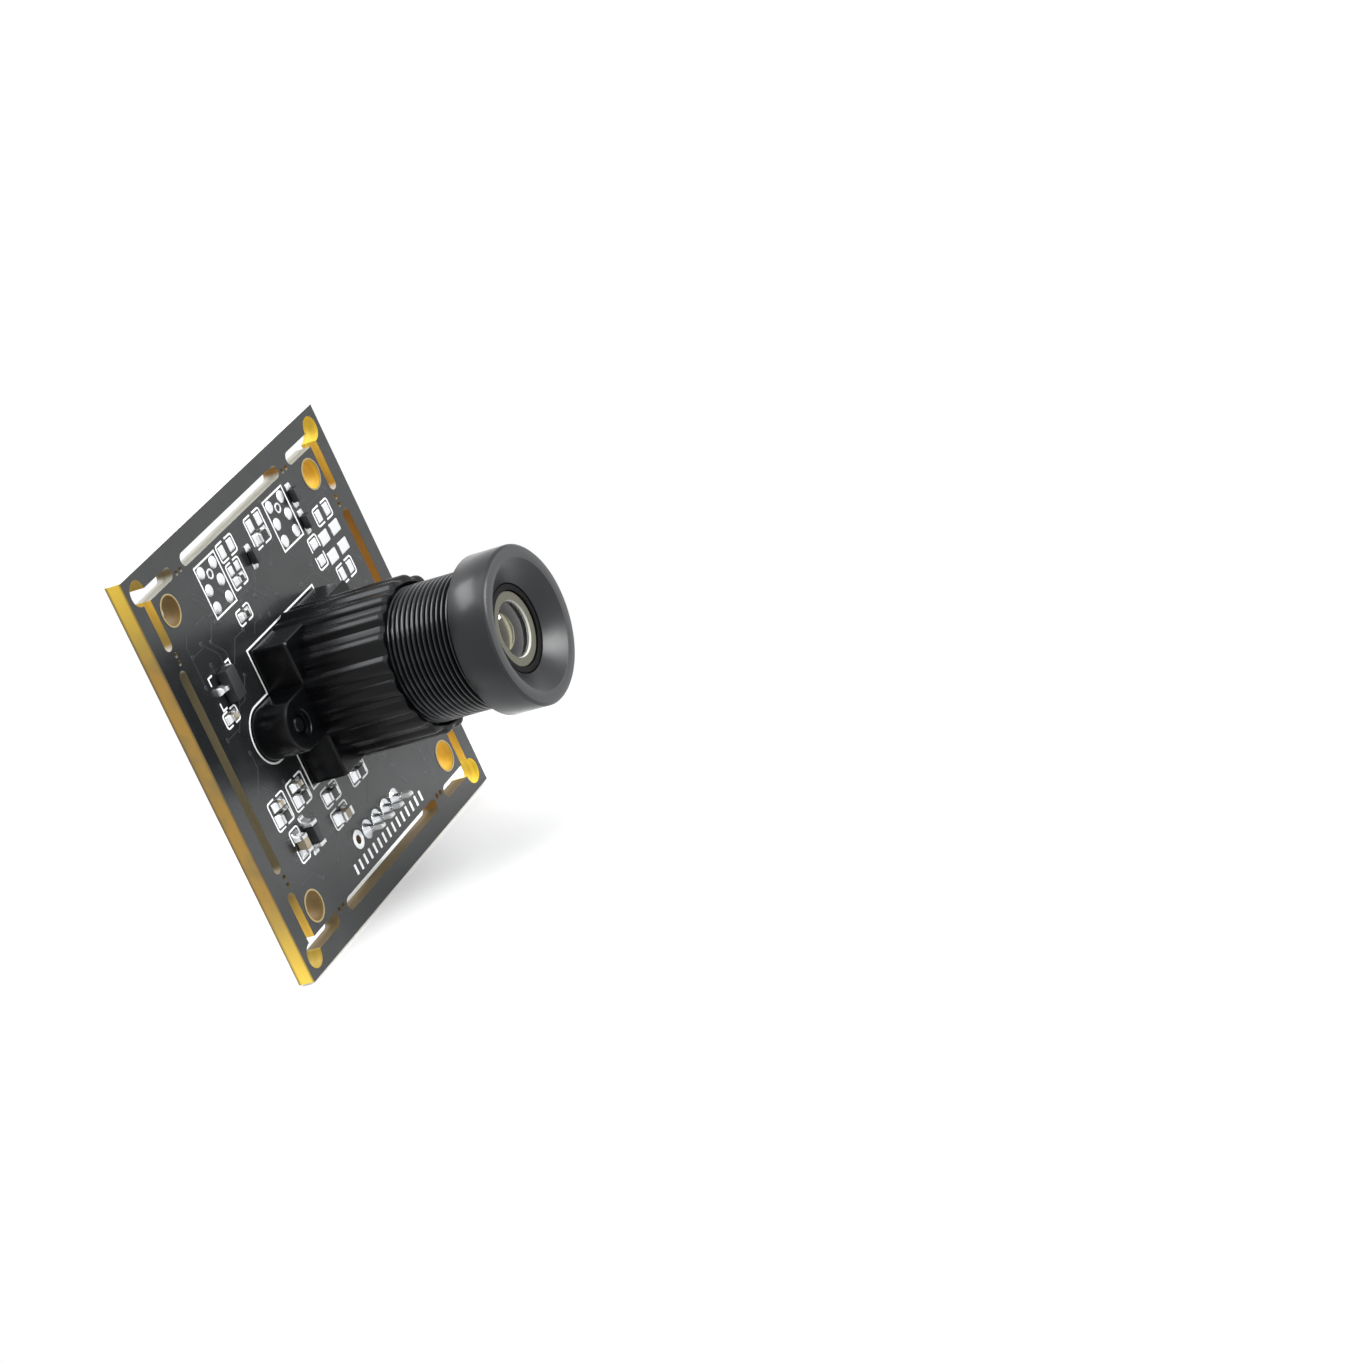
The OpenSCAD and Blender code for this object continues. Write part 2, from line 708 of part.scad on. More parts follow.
module sensor_cover_glass() {
    color([0.7, 0.8, 0.85, 0.5]) on_front() translate([0, 0, sensor_h])
        block(sensor_glass_w, sensor_glass_w, sensor_glass_t);
}

module infrared_filter() {
    color([0.55, 0.75, 0.7, 0.5]) on_front() translate([0, 0, web_top]) block(filter_w, filter_w, filter_t);
}

// Thread crests as rings, one for each pitch
function thread_outline(from_h, to_h) = [
    for (k = [0 : floor((to_h - from_h) / thread_pitch) - 1])
        each [[thread_d / 2 - thread_depth, from_h + k * thread_pitch],
            [thread_d / 2, from_h + (k + 0.5 - crest_share / 2) * thread_pitch],
            [thread_d / 2, from_h + (k + 0.5 + crest_share / 2) * thread_pitch]]
];

module lens_barrel() {
    head_front_h = head_rear_h + head_l;
    lip_d = stack_d - 2 * rear_lip_w;
    root_r = thread_d / 2 - thread_depth;
    color("#4c5054") on_front() rotate_extrude($fn = 96)
        polygon(concat(
            [[lip_d / 2, barrel_rear_h]],
            thread_outline(barrel_rear_h, head_rear_h),
            [[root_r, head_rear_h],
                [head_d / 2, head_rear_h],
                [head_d / 2, head_front_h],
                [rim_inner_d / 2, head_front_h],
                [cone_small_d / 2, cone_floor_h],
                [stack_d / 2, lip_h],
                [lip_d / 2, lip_h]]));
}

module front_retaining_ring() {
    color("#101114") on_front() translate([0, 0, retainer_h])
        tube(stack_fit_d, stack_fit_d - 2 * retainer_w, retainer_t);
}

// Meniscus with a stepped edge: the ring holds the step, and a low dome rises inside it
module front_lens_element() {
    step_d = stack_fit_d - 2 * retainer_w - 2 * glass_clearance;
    dome_drop = sqrt(front_dome_r * front_dome_r - front_dome_d * front_dome_d / 4);
    hollow_drop = sqrt(front_hollow_r * front_hollow_r - front_hollow_d * front_hollow_d / 4);
    color([0.5, 0.5, 0.4, 0.5]) on_front() difference() {
        union() {
            translate([0, 0, front_glass_h]) cylinder(d = stack_fit_d, h = front_glass_edge_t);
            translate([0, 0, retainer_h]) cylinder(d = step_d, h = front_glass_step_h);
            intersection() {
                translate([0, 0, retainer_h]) cylinder(d = front_dome_d, h = front_dome_r);
                translate([0, 0, retainer_h + front_glass_step_h - dome_drop])
                    sphere(r = front_dome_r, $fn = 160);
            }
        }
        translate([0, 0, front_glass_h - hollow_drop]) sphere(r = front_hollow_r, $fn = 160);
    }
}

module front_lens_spacer() {
    color("#101114") on_front() translate([0, 0, front_spacer_h])
        tube(stack_fit_d, stack_fit_d - 2 * spacer_w, front_spacer_l);
}

// Glass with two equal domed faces
module domed_glass(t, r) {
    intersection() {
        cylinder(d = stack_fit_d, h = t, $fn = 160);
        translate([0, 0, t - r]) sphere(r = r, $fn = 160);
        translate([0, 0, r]) sphere(r = r, $fn = 160);
    }
}

module middle_lens_element() {
    color([0.6, 0.65, 0.6, 0.5]) on_front() translate([0, 0, middle_glass_h])
        domed_glass(middle_glass_t, middle_glass_r);
}

module aperture_stop() {
    color("#08090b") on_front() translate([0, 0, stop_h]) tube(stack_fit_d, stop_hole_d, stop_t);
}

module rear_lens_spacer() {
    color("#101114") on_front() translate([0, 0, rear_spacer_h])
        tube(stack_fit_d, stack_fit_d - 2 * spacer_w, rear_spacer_l);
}

module rear_lens_element() {
    color([0.6, 0.65, 0.6, 0.5]) on_front() translate([0, 0, lip_h]) domed_glass(rear_glass_t, rear_glass_r);
}

// Open-topped housing with a slot in each end wall and guide ribs on its upper side
module connector_housing() {
    mid_z = (housing_above - housing_below) / 2;
    color("#f2f2ee") on_rear() translate([connector_x, connector_z, 0]) {
        difference() {
            translate([0, mid_z, 0]) block(housing_w, housing_l, housing_h);
            translate([0, mid_z, housing_floor])
                block(housing_w - 2 * housing_wall, housing_l - 2 * housing_wall, housing_h);
            translate([0, 0, housing_h - cavity_slot_depth])
                block(housing_w + 2 * cut_over, cavity_slot_w, housing_h);
            for (k = [0 : pin_count - 1])
                translate([k * pin_pitch - pin_row_l / 2, 0, -cut_over])
                    block(pin_w, pin_w, housing_floor + 2 * cut_over);
        }
        for (k = [0 : pin_count - 1])
            translate([
                k * pin_pitch - pin_row_l / 2, housing_above - housing_wall - rib_depth / 2, housing_floor])
                block(rib_w, rib_depth, housing_h - housing_floor - cavity_slot_depth);
    }
}

module connector_pins() {
    color("#c9cbc8") on_rear() for (k = [0 : pin_count - 1])
        translate([connector_x + k * pin_pitch - pin_row_l / 2, connector_z, -board_t - pin_tail_l])
            block(pin_w, pin_w, pin_tail_l + board_t + housing_h - pin_tip_gap);
}

module connector_solder() {
    color("#dcdedd") on_front() for (k = [0 : pin_count - 1])
        translate([connector_x + k * pin_pitch - pin_row_l / 2, connector_z, 0]) difference() {
            cylinder(d1 = solder_foot_d, d2 = solder_top_d, h = solder_h, $fn = 32);
            translate([0, 0, -cut_over]) block(pin_w, pin_w, solder_h + 2 * cut_over);
        }
}

module processor_body() {
    color("#55585c") on_rear() at_share(processor_share) block(processor_w, processor_w, processor_h);
}

module processor_leads() {
    color("#dcdedd") on_rear() at_share(processor_share)
        for (a = [0 : 90 : 270])
            rotate([0, 0, a])
                for (k = [0 : processor_lead_count - 1])
                    translate([processor_w / 2 + processor_lead_reach / 2,
                            (k - (processor_lead_count - 1) / 2) * processor_lead_pitch, 0])
                        block(processor_lead_reach, processor_lead_w, processor_lead_h);
}

// A bent lead that leaves its chip at x = 0 and steps down to its pad
module bent_lead(reach, w, shoulder_h) {
    foot = reach * lead_foot_share;
    translate([0, -w / 2, shoulder_h - lead_t]) cube([reach - foot + lead_t, w, lead_t]);
    translate([reach - foot, -w / 2, pad_t]) cube([lead_t, w, shoulder_h - pad_t]);
    translate([reach - foot, -w / 2, pad_t]) cube([foot, w, lead_t]);
}

module flash_memory_body() {
    color("#55585c") on_rear() at_share(flash_share)
        translate([0, 0, chip_standoff]) block(flash_w, flash_l, flash_h - chip_standoff);
}

module flash_memory_leads() {
    color("#c9cbc8") on_rear() at_share(flash_share)
        for (a = [0, 180])
            rotate([0, 0, a])
                for (k = [0 : flash_lead_count - 1])
                    translate([flash_w / 2, (k - (flash_lead_count - 1) / 2) * flash_lead_pitch, 0])
                        bent_lead(flash_reach, flash_lead_w, flash_h / 2 + lead_t);
}

// Square core with its four corners cut off
module power_inductor_core() {
    a = inductor_w / 2;
    b = a - inductor_corner;
    t = inductor_end_t;
    color("#9aa1a3") on_rear() at_share(inductor_share) translate([0, 0, pad_t])
        linear_extrude(inductor_h)
            polygon([[a - t, -b], [a - t, b], [b, a], [-b, a], [t - a, b], [t - a, -b], [-b, -a], [b, -a]]);
}

module power_inductor_ends() {
    color("#dcdedd") on_rear() at_share(inductor_share) for (s = [-1, 1])
        translate([s * (inductor_w - inductor_end_t) / 2, 0, pad_t])
            block(inductor_end_t, inductor_w - 2 * inductor_corner, inductor_h * inductor_end_h_share);
}

module small_chip_body() {
    translate([0, 0, chip_standoff]) block(regulator_l, regulator_w, regulator_h - chip_standoff);
}

module small_chip_lead(x, side) {
    translate([x, side * regulator_w / 2, 0]) rotate([0, 0, side * 90])
        bent_lead(small_reach, small_lead_w, regulator_h / 2 + lead_t);
}

module five_leads() {
    for (k = [-1, 1]) small_chip_lead(k * small_lead_pitch, 1);
    for (k = [-1, 0, 1]) small_chip_lead(k * small_lead_pitch, -1);
}

module core_regulator_body() {
    color("#3a3c40") on_rear() translate(core_regulator_place) small_chip_body();
}

module core_regulator_leads() {
    color("#c9cbc8") on_rear() translate(core_regulator_place) five_leads();
}

module supply_regulator_body() {
    color("#3a3c40") on_rear() at_share(supply_regulator_share) small_chip_body();
}

module supply_regulator_leads() {
    color("#c9cbc8") on_rear() at_share(supply_regulator_share) five_leads();
}

module lens_side_regulator_body() {
    color("#2a2c30") on_front() at_share(lens_side_regulator_share) rotate([0, 0, 90]) small_chip_body();
}

module lens_side_regulator_leads() {
    color("#c9cbc8") on_front() at_share(lens_side_regulator_share) rotate([0, 0, 90]) {
        small_chip_lead(0, 1);
        for (k = [-1, 1]) small_chip_lead(k * small_lead_pitch, -1);
    }
}

module signal_transistor_bodies() {
    color("#1b1c20") on_front() for (p = transistor_places) translate(p)
        translate([0, 0, pad_t]) block(transistor_w, transistor_l, transistor_h);
}

module signal_transistor_leads() {
    color("#c9cbc8") on_front() for (p = transistor_places) translate(p) translate([0, 0, pad_t]) {
        for (s = [-1, 1])
            translate([0, s * (transistor_l + transistor_reach) / 2, 0])
                block(small_lead_w, transistor_reach, lead_t);
        translate([(transistor_w + transistor_reach) / 2, 0, 0])
            block(transistor_reach, small_lead_w, lead_t);
    }
}

module rear_brown_capacitors() {
    color("#8a6a43") on_rear() part_bodies(rear_rows, "bB");
}

module rear_grey_capacitors() {
    color("#a8a295") on_rear() part_bodies(rear_rows, "gG");
}

module rear_capacitor_ends() {
    color("#dcdedd") on_rear() part_ends(rear_rows, "bBgG");
}

module rear_resistors() {
    color("#26272b") on_rear() part_bodies(rear_rows, "rR");
}

module rear_resistor_ends() {
    color("#dcdedd") on_rear() part_ends(rear_rows, "rR");
}

module front_brown_capacitor() {
    color("#8a6a43") on_front() part_bodies(front_rows, "bB");
}

module front_grey_capacitors() {
    color("#a8a295") on_front() part_bodies(front_rows, "gG");
}

module front_capacitor_ends() {
    color("#dcdedd") on_front() part_ends(front_rows, "bBgG");
}

module front_resistors() {
    color("#26272b") on_front() part_bodies(front_rows, "rR");
}

module front_resistor_ends() {
    color("#dcdedd") on_front() part_ends(front_rows, "rR");
}

module protection_diode_body() {
    color("#1b1c20") on_front() at_share(protection_diode_share) translate([0, 0, pad_t])
        block(diode_w, diode_l - 2 * diode_end_w, diode_h);
}

module protection_diode_ends() {
    color("#dcdedd") on_front() at_share(protection_diode_share) for (s = [-1, 1])
        translate([0, s * (diode_l - diode_end_w) / 2, pad_t]) block(diode_w, diode_end_w, diode_h);
}

circuit_board();
front_pads();
rear_pads();
front_legend();
rear_legend();
lens_holder();
holder_screws();
sensor_package();
sensor_die();
sensor_cover_glass();
infrared_filter();
lens_barrel();
front_retaining_ring();
front_lens_element();
front_lens_spacer();
middle_lens_element();
aperture_stop();
rear_lens_spacer();
rear_lens_element();
connector_housing();
connector_pins();
connector_solder();
processor_body();
processor_leads();
flash_memory_body();
flash_memory_leads();
power_inductor_core();
power_inductor_ends();
core_regulator_body();
core_regulator_leads();
supply_regulator_body();
supply_regulator_leads();
lens_side_regulator_body();
lens_side_regulator_leads();
signal_transistor_bodies();
signal_transistor_leads();
rear_brown_capacitors();
rear_grey_capacitors();
rear_capacitor_ends();
rear_resistors();
rear_resistor_ends();
front_brown_capacitor();
front_grey_capacitors();
front_capacitor_ends();
front_resistors();
front_resistor_ends();
protection_diode_body();
protection_diode_ends();
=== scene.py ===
"""Camera module with a focusing lens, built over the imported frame.

Lengths are in millimetres up to the moment a mesh is made, and in metres after that.
Plan points are (across, up, height): across is +X, up is +Z, and the height is counted from the
board's front face towards the lens (front) or from its rear face away from the lens (rear).
Places and sizes come from the frame's own nodes.
"""

import math

import bmesh
import bpy
import numpy as np
from mathutils import Matrix, Vector


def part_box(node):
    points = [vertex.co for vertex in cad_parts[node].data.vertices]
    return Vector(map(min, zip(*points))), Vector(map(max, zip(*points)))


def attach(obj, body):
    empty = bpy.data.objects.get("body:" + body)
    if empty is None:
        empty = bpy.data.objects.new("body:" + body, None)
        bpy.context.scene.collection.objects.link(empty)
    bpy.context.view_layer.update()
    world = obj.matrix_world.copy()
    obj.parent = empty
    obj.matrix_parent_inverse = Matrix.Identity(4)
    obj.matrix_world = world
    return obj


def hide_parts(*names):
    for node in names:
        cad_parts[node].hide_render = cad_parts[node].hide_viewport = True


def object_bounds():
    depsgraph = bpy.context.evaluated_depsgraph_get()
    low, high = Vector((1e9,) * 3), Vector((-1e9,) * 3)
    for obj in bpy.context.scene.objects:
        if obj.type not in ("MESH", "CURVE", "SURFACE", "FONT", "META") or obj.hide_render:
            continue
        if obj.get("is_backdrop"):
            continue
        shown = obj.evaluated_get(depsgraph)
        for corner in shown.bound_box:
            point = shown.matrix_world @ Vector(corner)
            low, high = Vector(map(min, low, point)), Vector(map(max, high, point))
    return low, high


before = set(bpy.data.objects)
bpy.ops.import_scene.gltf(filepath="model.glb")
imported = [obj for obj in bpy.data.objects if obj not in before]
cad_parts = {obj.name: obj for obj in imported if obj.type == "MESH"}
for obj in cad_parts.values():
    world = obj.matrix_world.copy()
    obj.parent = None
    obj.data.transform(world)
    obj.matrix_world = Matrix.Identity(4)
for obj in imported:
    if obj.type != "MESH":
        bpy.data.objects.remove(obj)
CAD_LOW, CAD_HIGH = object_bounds()
MM = 0.001
BOARD_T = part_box("circuit_board")[1].y / MM
PI = math.pi


# ---------- shapes in plan millimetres ----------

def to_world(points, side):
    """Plan (u, v, h) to world: front (u, -h, v), rear (u, board thickness + h, v)."""
    p = np.asarray(points, float).reshape(-1, 3)
    y = -p[:, 2] if side == "front" else BOARD_T + p[:, 2]
    return np.stack([p[:, 0], y, p[:, 1]], 1)


def solids(node, side):
    """Lowest and highest plan corner, and the plan points, of each separate solid of a CAD node.

    Every point starts with its own number. Each triangle hands its lowest number to its three
    points until nothing changes, so each solid ends with one number.
    """
    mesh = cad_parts[node].data
    co = np.empty(len(mesh.vertices) * 3)
    mesh.vertices.foreach_get("co", co)
    corner = np.empty(len(mesh.loops), int)
    mesh.loops.foreach_get("vertex_index", corner)
    keys, index = np.unique(np.round(co.reshape(-1, 3) / MM, 4), axis=0, return_inverse=True)
    tri = index.ravel()[corner.reshape(-1, 3)]
    label = np.arange(len(keys))
    while True:
        new = label.copy()
        low = label[tri].min(1)
        for k in range(3):
            np.minimum.at(new, tri[:, k], low)
        if (new == label).all():
            break
        label = new
    h = -keys[:, 1] if side == "front" else keys[:, 1] - BOARD_T
    plan = np.stack([keys[:, 0], keys[:, 2], h], 1)
    groups = [plan[label == k] for k in np.unique(label)]
    return [(g.min(0), g.max(0), g) for g in groups]


def grid_faces(rows, cols, wrap_rows=False, wrap_cols=False):
    """Quads of a grid of points stored row by row; a wrapped direction joins its last to its first."""
    i = np.arange(rows if wrap_rows else rows - 1)[:, None]
    j = np.arange(cols if wrap_cols else cols - 1)[None, :]
    i2, j2 = (i + 1) % rows, (j + 1) % cols
    quads = [i * cols + j, i * cols + j2, i2 * cols + j2, i2 * cols + j]
    return np.stack([np.broadcast_to(q, (i.size, j.size)) for q in quads], -1).reshape(-1, 4)


def skin(rings, closed=False):
    """Quads over a row of rings of equal length.

    A closed row joins its last ring to its first, like a tyre. An open one gets a fan of triangles
    to the middle point of its first and its last ring.
    """
    rings = np.asarray(rings, float)
    m, k, _ = rings.shape
    faces = grid_faces(m, k, closed, True)
    points = rings.reshape(-1, 3)
    if closed:
        return points, faces
    j = np.arange(k)
    none = np.full(k, -1)
    fan = [np.stack([np.full(k, m * k), (j + 1) % k, j, none], 1),
           np.stack([np.full(k, m * k + 1), (m - 1) * k + j, (m - 1) * k + (j + 1) % k, none], 1)]
    points = np.concatenate([points, rings[[0, -1]].mean(1)])
    return points, np.concatenate([faces] + fan)


def revolve(profile, centre=(0.0, 0.0), steps=48, closed=False):
    """Turned body: each profile pair (r, h) becomes the ring centre + r (cos a, sin a) at height h."""
    profile = np.asarray(profile, float)
    a = np.arange(steps) * 2 * PI / steps
    r, h = profile[:, :1], profile[:, 1:]
    rings = np.stack([centre[0] + r * np.cos(a), centre[1] + r * np.sin(a), h + 0 * a], -1)
    return skin(rings, closed)


def eased(points, cut, steps=4, closed=False):
    """Polyline with each inner corner replaced by a curve.

    The curve starts and ends at the distance cut from the corner, at most 0.45 of the shorter
    neighbour, and follows (1-s)^2 start + 2s(1-s) corner + s^2 end.
    """
    p = np.asarray(points, float)
    n = len(p)
    cuts = np.broadcast_to(np.asarray(cut, float), (n,))
    s = np.linspace(0, 1, steps + 1)[:, None]
    out = []
    for k in range(n):
        if (not closed and k in (0, n - 1)) or cuts[k] == 0:
            out.append(p[k:k + 1])
            continue
        a, b = p[k - 1] - p[k], p[(k + 1) % n] - p[k]
        la, lb = np.linalg.norm(a), np.linalg.norm(b)
        t = min(cuts[k], 0.45 * la, 0.45 * lb)
        start, end = p[k] + a / la * t, p[k] + b / lb * t
        out.append((1 - s) ** 2 * start + 2 * s * (1 - s) * p[k] + s ** 2 * end)
    return np.concatenate(out)


def rounded_box(low, high, r, steps=2, cuts_u=(), cuts_v=()):
    """Box with round edges as six grids.

    Grid lines lie at r tan(0 to 45 degrees) outside the box shrunk by r. Each point becomes the
    nearest point of the shrunk box plus r along the line from it. Extra lines may be asked for.
    """
    low, high = np.asarray(low, float), np.asarray(high, float)
    r = min(r, 0.49 * (high - low).min())
    t = r * np.tan(np.linspace(PI / 4, 0, steps + 1))
    lines = []
    for k, extra in enumerate((cuts_u, cuts_v, ())):
        lines.append(np.concatenate([low[k] + r - t, np.sort(np.asarray(extra, float)), high[k] - r + t[::-1]]))
    parts = []
    for axis in range(3):
        a, b = [k for k in range(3) if k != axis]
        g = np.stack(np.meshgrid(lines[a], lines[b], indexing="ij"), -1)
        for value in (low[axis], high[axis]):
            p = np.empty(g.shape[:2] + (3,))
            p[..., a], p[..., b], p[..., axis] = g[..., 0], g[..., 1], value
            inner = np.clip(p, low + r, high - r)
            d = p - inner
            p = inner + r * d / np.linalg.norm(d, axis=-1, keepdims=True)
            parts.append((p.reshape(-1, 3), grid_faces(len(lines[a]), len(lines[b]))))
    return merged(parts)


def merged(parts):
    """Parts stacked into one, each part's face numbers moved up by the points before it."""
    start = np.cumsum([0] + [len(p) for p, f in parts])
    faces = np.concatenate([np.where(f >= 0, f + s, -1) for (p, f), s in zip(parts, start)])
    return np.concatenate([p for p, f in parts]), faces


def drafted(part, low, high, slope):
    """Moulded shape: points move towards the box's middle by slope times their distance from mid height."""
    points, faces = part
    middle, half = (low + high) / 2, (high - low) / 2
    away = np.abs(points[:, 2] - middle[2])[:, None]
    plan = points[:, :2] - middle[:2]
    shrink = 1 - slope * away / half[:2]
    return np.concatenate([middle[:2] + plan * shrink, points[:, 2:]], 1), faces


def dimpled(part, centre, radius, depth, top):
    """Round dimple in a top face: squares of points round the centre are drawn into circles.

    Inside the radius the points lie on circles and sink by depth with a smooth rim. From one to two
    radii they go back to their square places.
    """
    points, faces = part
    points = points.copy()
    d = points[:, :2] - centre
    m = np.abs(d).max(1)
    near = (m < 2 * radius) & (m > 0) & (points[:, 2] > top - 1e-6)
    length = np.linalg.norm(d[near], axis=1)
    share = np.clip(2 - m[near] / radius, 0, 1)[:, None]
    circle = d[near] * (m[near] / length)[:, None]
    points[near, :2] = centre + d[near] * (1 - share) + circle * share
    fall = np.clip((radius * 1.02 - m) / (0.3 * radius), 0, 1)
    points[:, 2] -= np.where(near | (m == 0), depth * fall * fall * (3 - 2 * fall), 0) * (points[:, 2] > top - 1e-6)
    return points, faces


def rounded_rect(w, l, r, steps=5):
    """Outline of a w by l rectangle with round corners, from the lower right corner anticlockwise."""
    a = np.linspace(0, PI / 2, steps)
    arc = np.stack([np.cos(a), np.sin(a)], 1) * r
    out = []
    for k, (i, j) in enumerate(((1, -1), (1, 1), (-1, 1), (-1, -1))):
        c, s = math.cos((k - 1) * PI / 2), math.sin((k - 1) * PI / 2)
        turned = arc @ np.array([[c, s], [-s, c]])
        out.append(turned + [i * (w / 2 - r), j * (l / 2 - r)])
    return np.concatenate(out)


def ring_at(outline, h, centre=(0.0, 0.0)):
    """An outline lifted to one height."""
    return np.concatenate([np.asarray(outline) + centre, np.full((len(outline), 1), h)], 1)


def ribbon(path, across, width, thick):
    """Flat strip swept along a path, its section a rectangle with cut corners."""
    path = np.asarray(path, float)
    tangent = np.gradient(path, axis=0)
    tangent /= np.linalg.norm(tangent, axis=1, keepdims=True)
    across = np.asarray(across, float)
    normal = np.cross(tangent, across)
    c = 0.18 * thick
    w, t = width / 2, thick / 2
    section = np.array([(w, -t + c), (w, t - c), (w - c, t), (c - w, t), (-w, t - c), (-w, c - t), (c - w, -t),
                        (w - c, -t)])
    rings = path[:, None] + section[None, :, :1] * across + section[None, :, 1:] * normal[:, None]
    return skin(rings)


# ---------- finished pieces ----------

def finish_piece(obj, mat, body, replaces, sharp):
    """Smooth shading with sharp edges above an angle, then the material, the body and the CAD nodes."""
    mesh = obj.data
    mesh.shade_smooth()
    mesh.set_sharp_from_angle(angle=math.radians(sharp))
    mesh.materials.clear()
    mesh.materials.append(mat)
    bpy.context.scene.collection.objects.link(obj)
    if replaces:
        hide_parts(*replaces)
    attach(obj, body)
    return obj


def piece(name, parts, mat, body="root", replaces=(), sharp=35, side="front"):
    """One object from plan parts: all points in one mesh, near points joined, faces turned outward."""
    points, faces = merged(parts)
    points = to_world(points, side) * MM
    return world_piece(name, points, faces, mat, body, replaces, sharp)


def world_piece(name, points, faces, mat, body, replaces, sharp):
    mesh = bpy.data.meshes.new(name)
    total = (faces >= 0).sum(1)
    loops = faces[faces >= 0]
    mesh.vertices.add(len(points))
    mesh.vertices.foreach_set("co", points.ravel())
    mesh.loops.add(len(loops))
    mesh.loops.foreach_set("vertex_index", loops)
    mesh.polygons.add(len(faces))
    mesh.polygons.foreach_set("loop_start", np.cumsum(total) - total)
    mesh.update(calc_edges=True)
    bm = bmesh.new()
    bm.from_mesh(mesh)
    bmesh.ops.remove_doubles(bm, verts=bm.verts, dist=1e-8)
    bmesh.ops.dissolve_degenerate(bm, edges=bm.edges, dist=1e-9)
    bmesh.ops.recalc_face_normals(bm, faces=bm.faces)
    bm.to_mesh(mesh)
    bm.free()
    return finish_piece(bpy.data.objects.new(name, mesh), mat, body, replaces, sharp)


def softened(name, node, mat, width, steps=2, body="root"):
    """A CAD node's shape with every edge sharper than 25 degrees rounded to the width given."""
    bm = bmesh.new()
    bm.from_mesh(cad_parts[node].data)
    bmesh.ops.remove_doubles(bm, verts=bm.verts, dist=1e-7)
    bmesh.ops.dissolve_limit(bm, angle_limit=math.radians(1), verts=bm.verts, edges=bm.edges)
    edges = [e for e in bm.edges if len(e.link_faces) == 2 and e.calc_face_angle(0) > math.radians(25)]
    bmesh.ops.bevel(bm, geom=edges, offset=width * MM, offset_type="OFFSET", segments=steps, profile=0.5,
                    affect="EDGES", clamp_overlap=True)
    bmesh.ops.recalc_face_normals(bm, faces=bm.faces)
    mesh = bpy.data.meshes.new(name)
    bm.to_mesh(mesh)
    bm.free()
    return finish_piece(bpy.data.objects.new(name, mesh), mat, body, (node,), 35)


# ---------- materials ----------

def srgb(r, g, b):
    """Screen colour 0 to 255 as the linear colour with alpha 1."""
    c = np.array([r, g, b]) / 255
    lin = np.where(c <= 0.04045, c / 12.92, ((c + 0.055) / 1.055) ** 2.4)
    return tuple(float(v) for v in lin) + (1.0,)


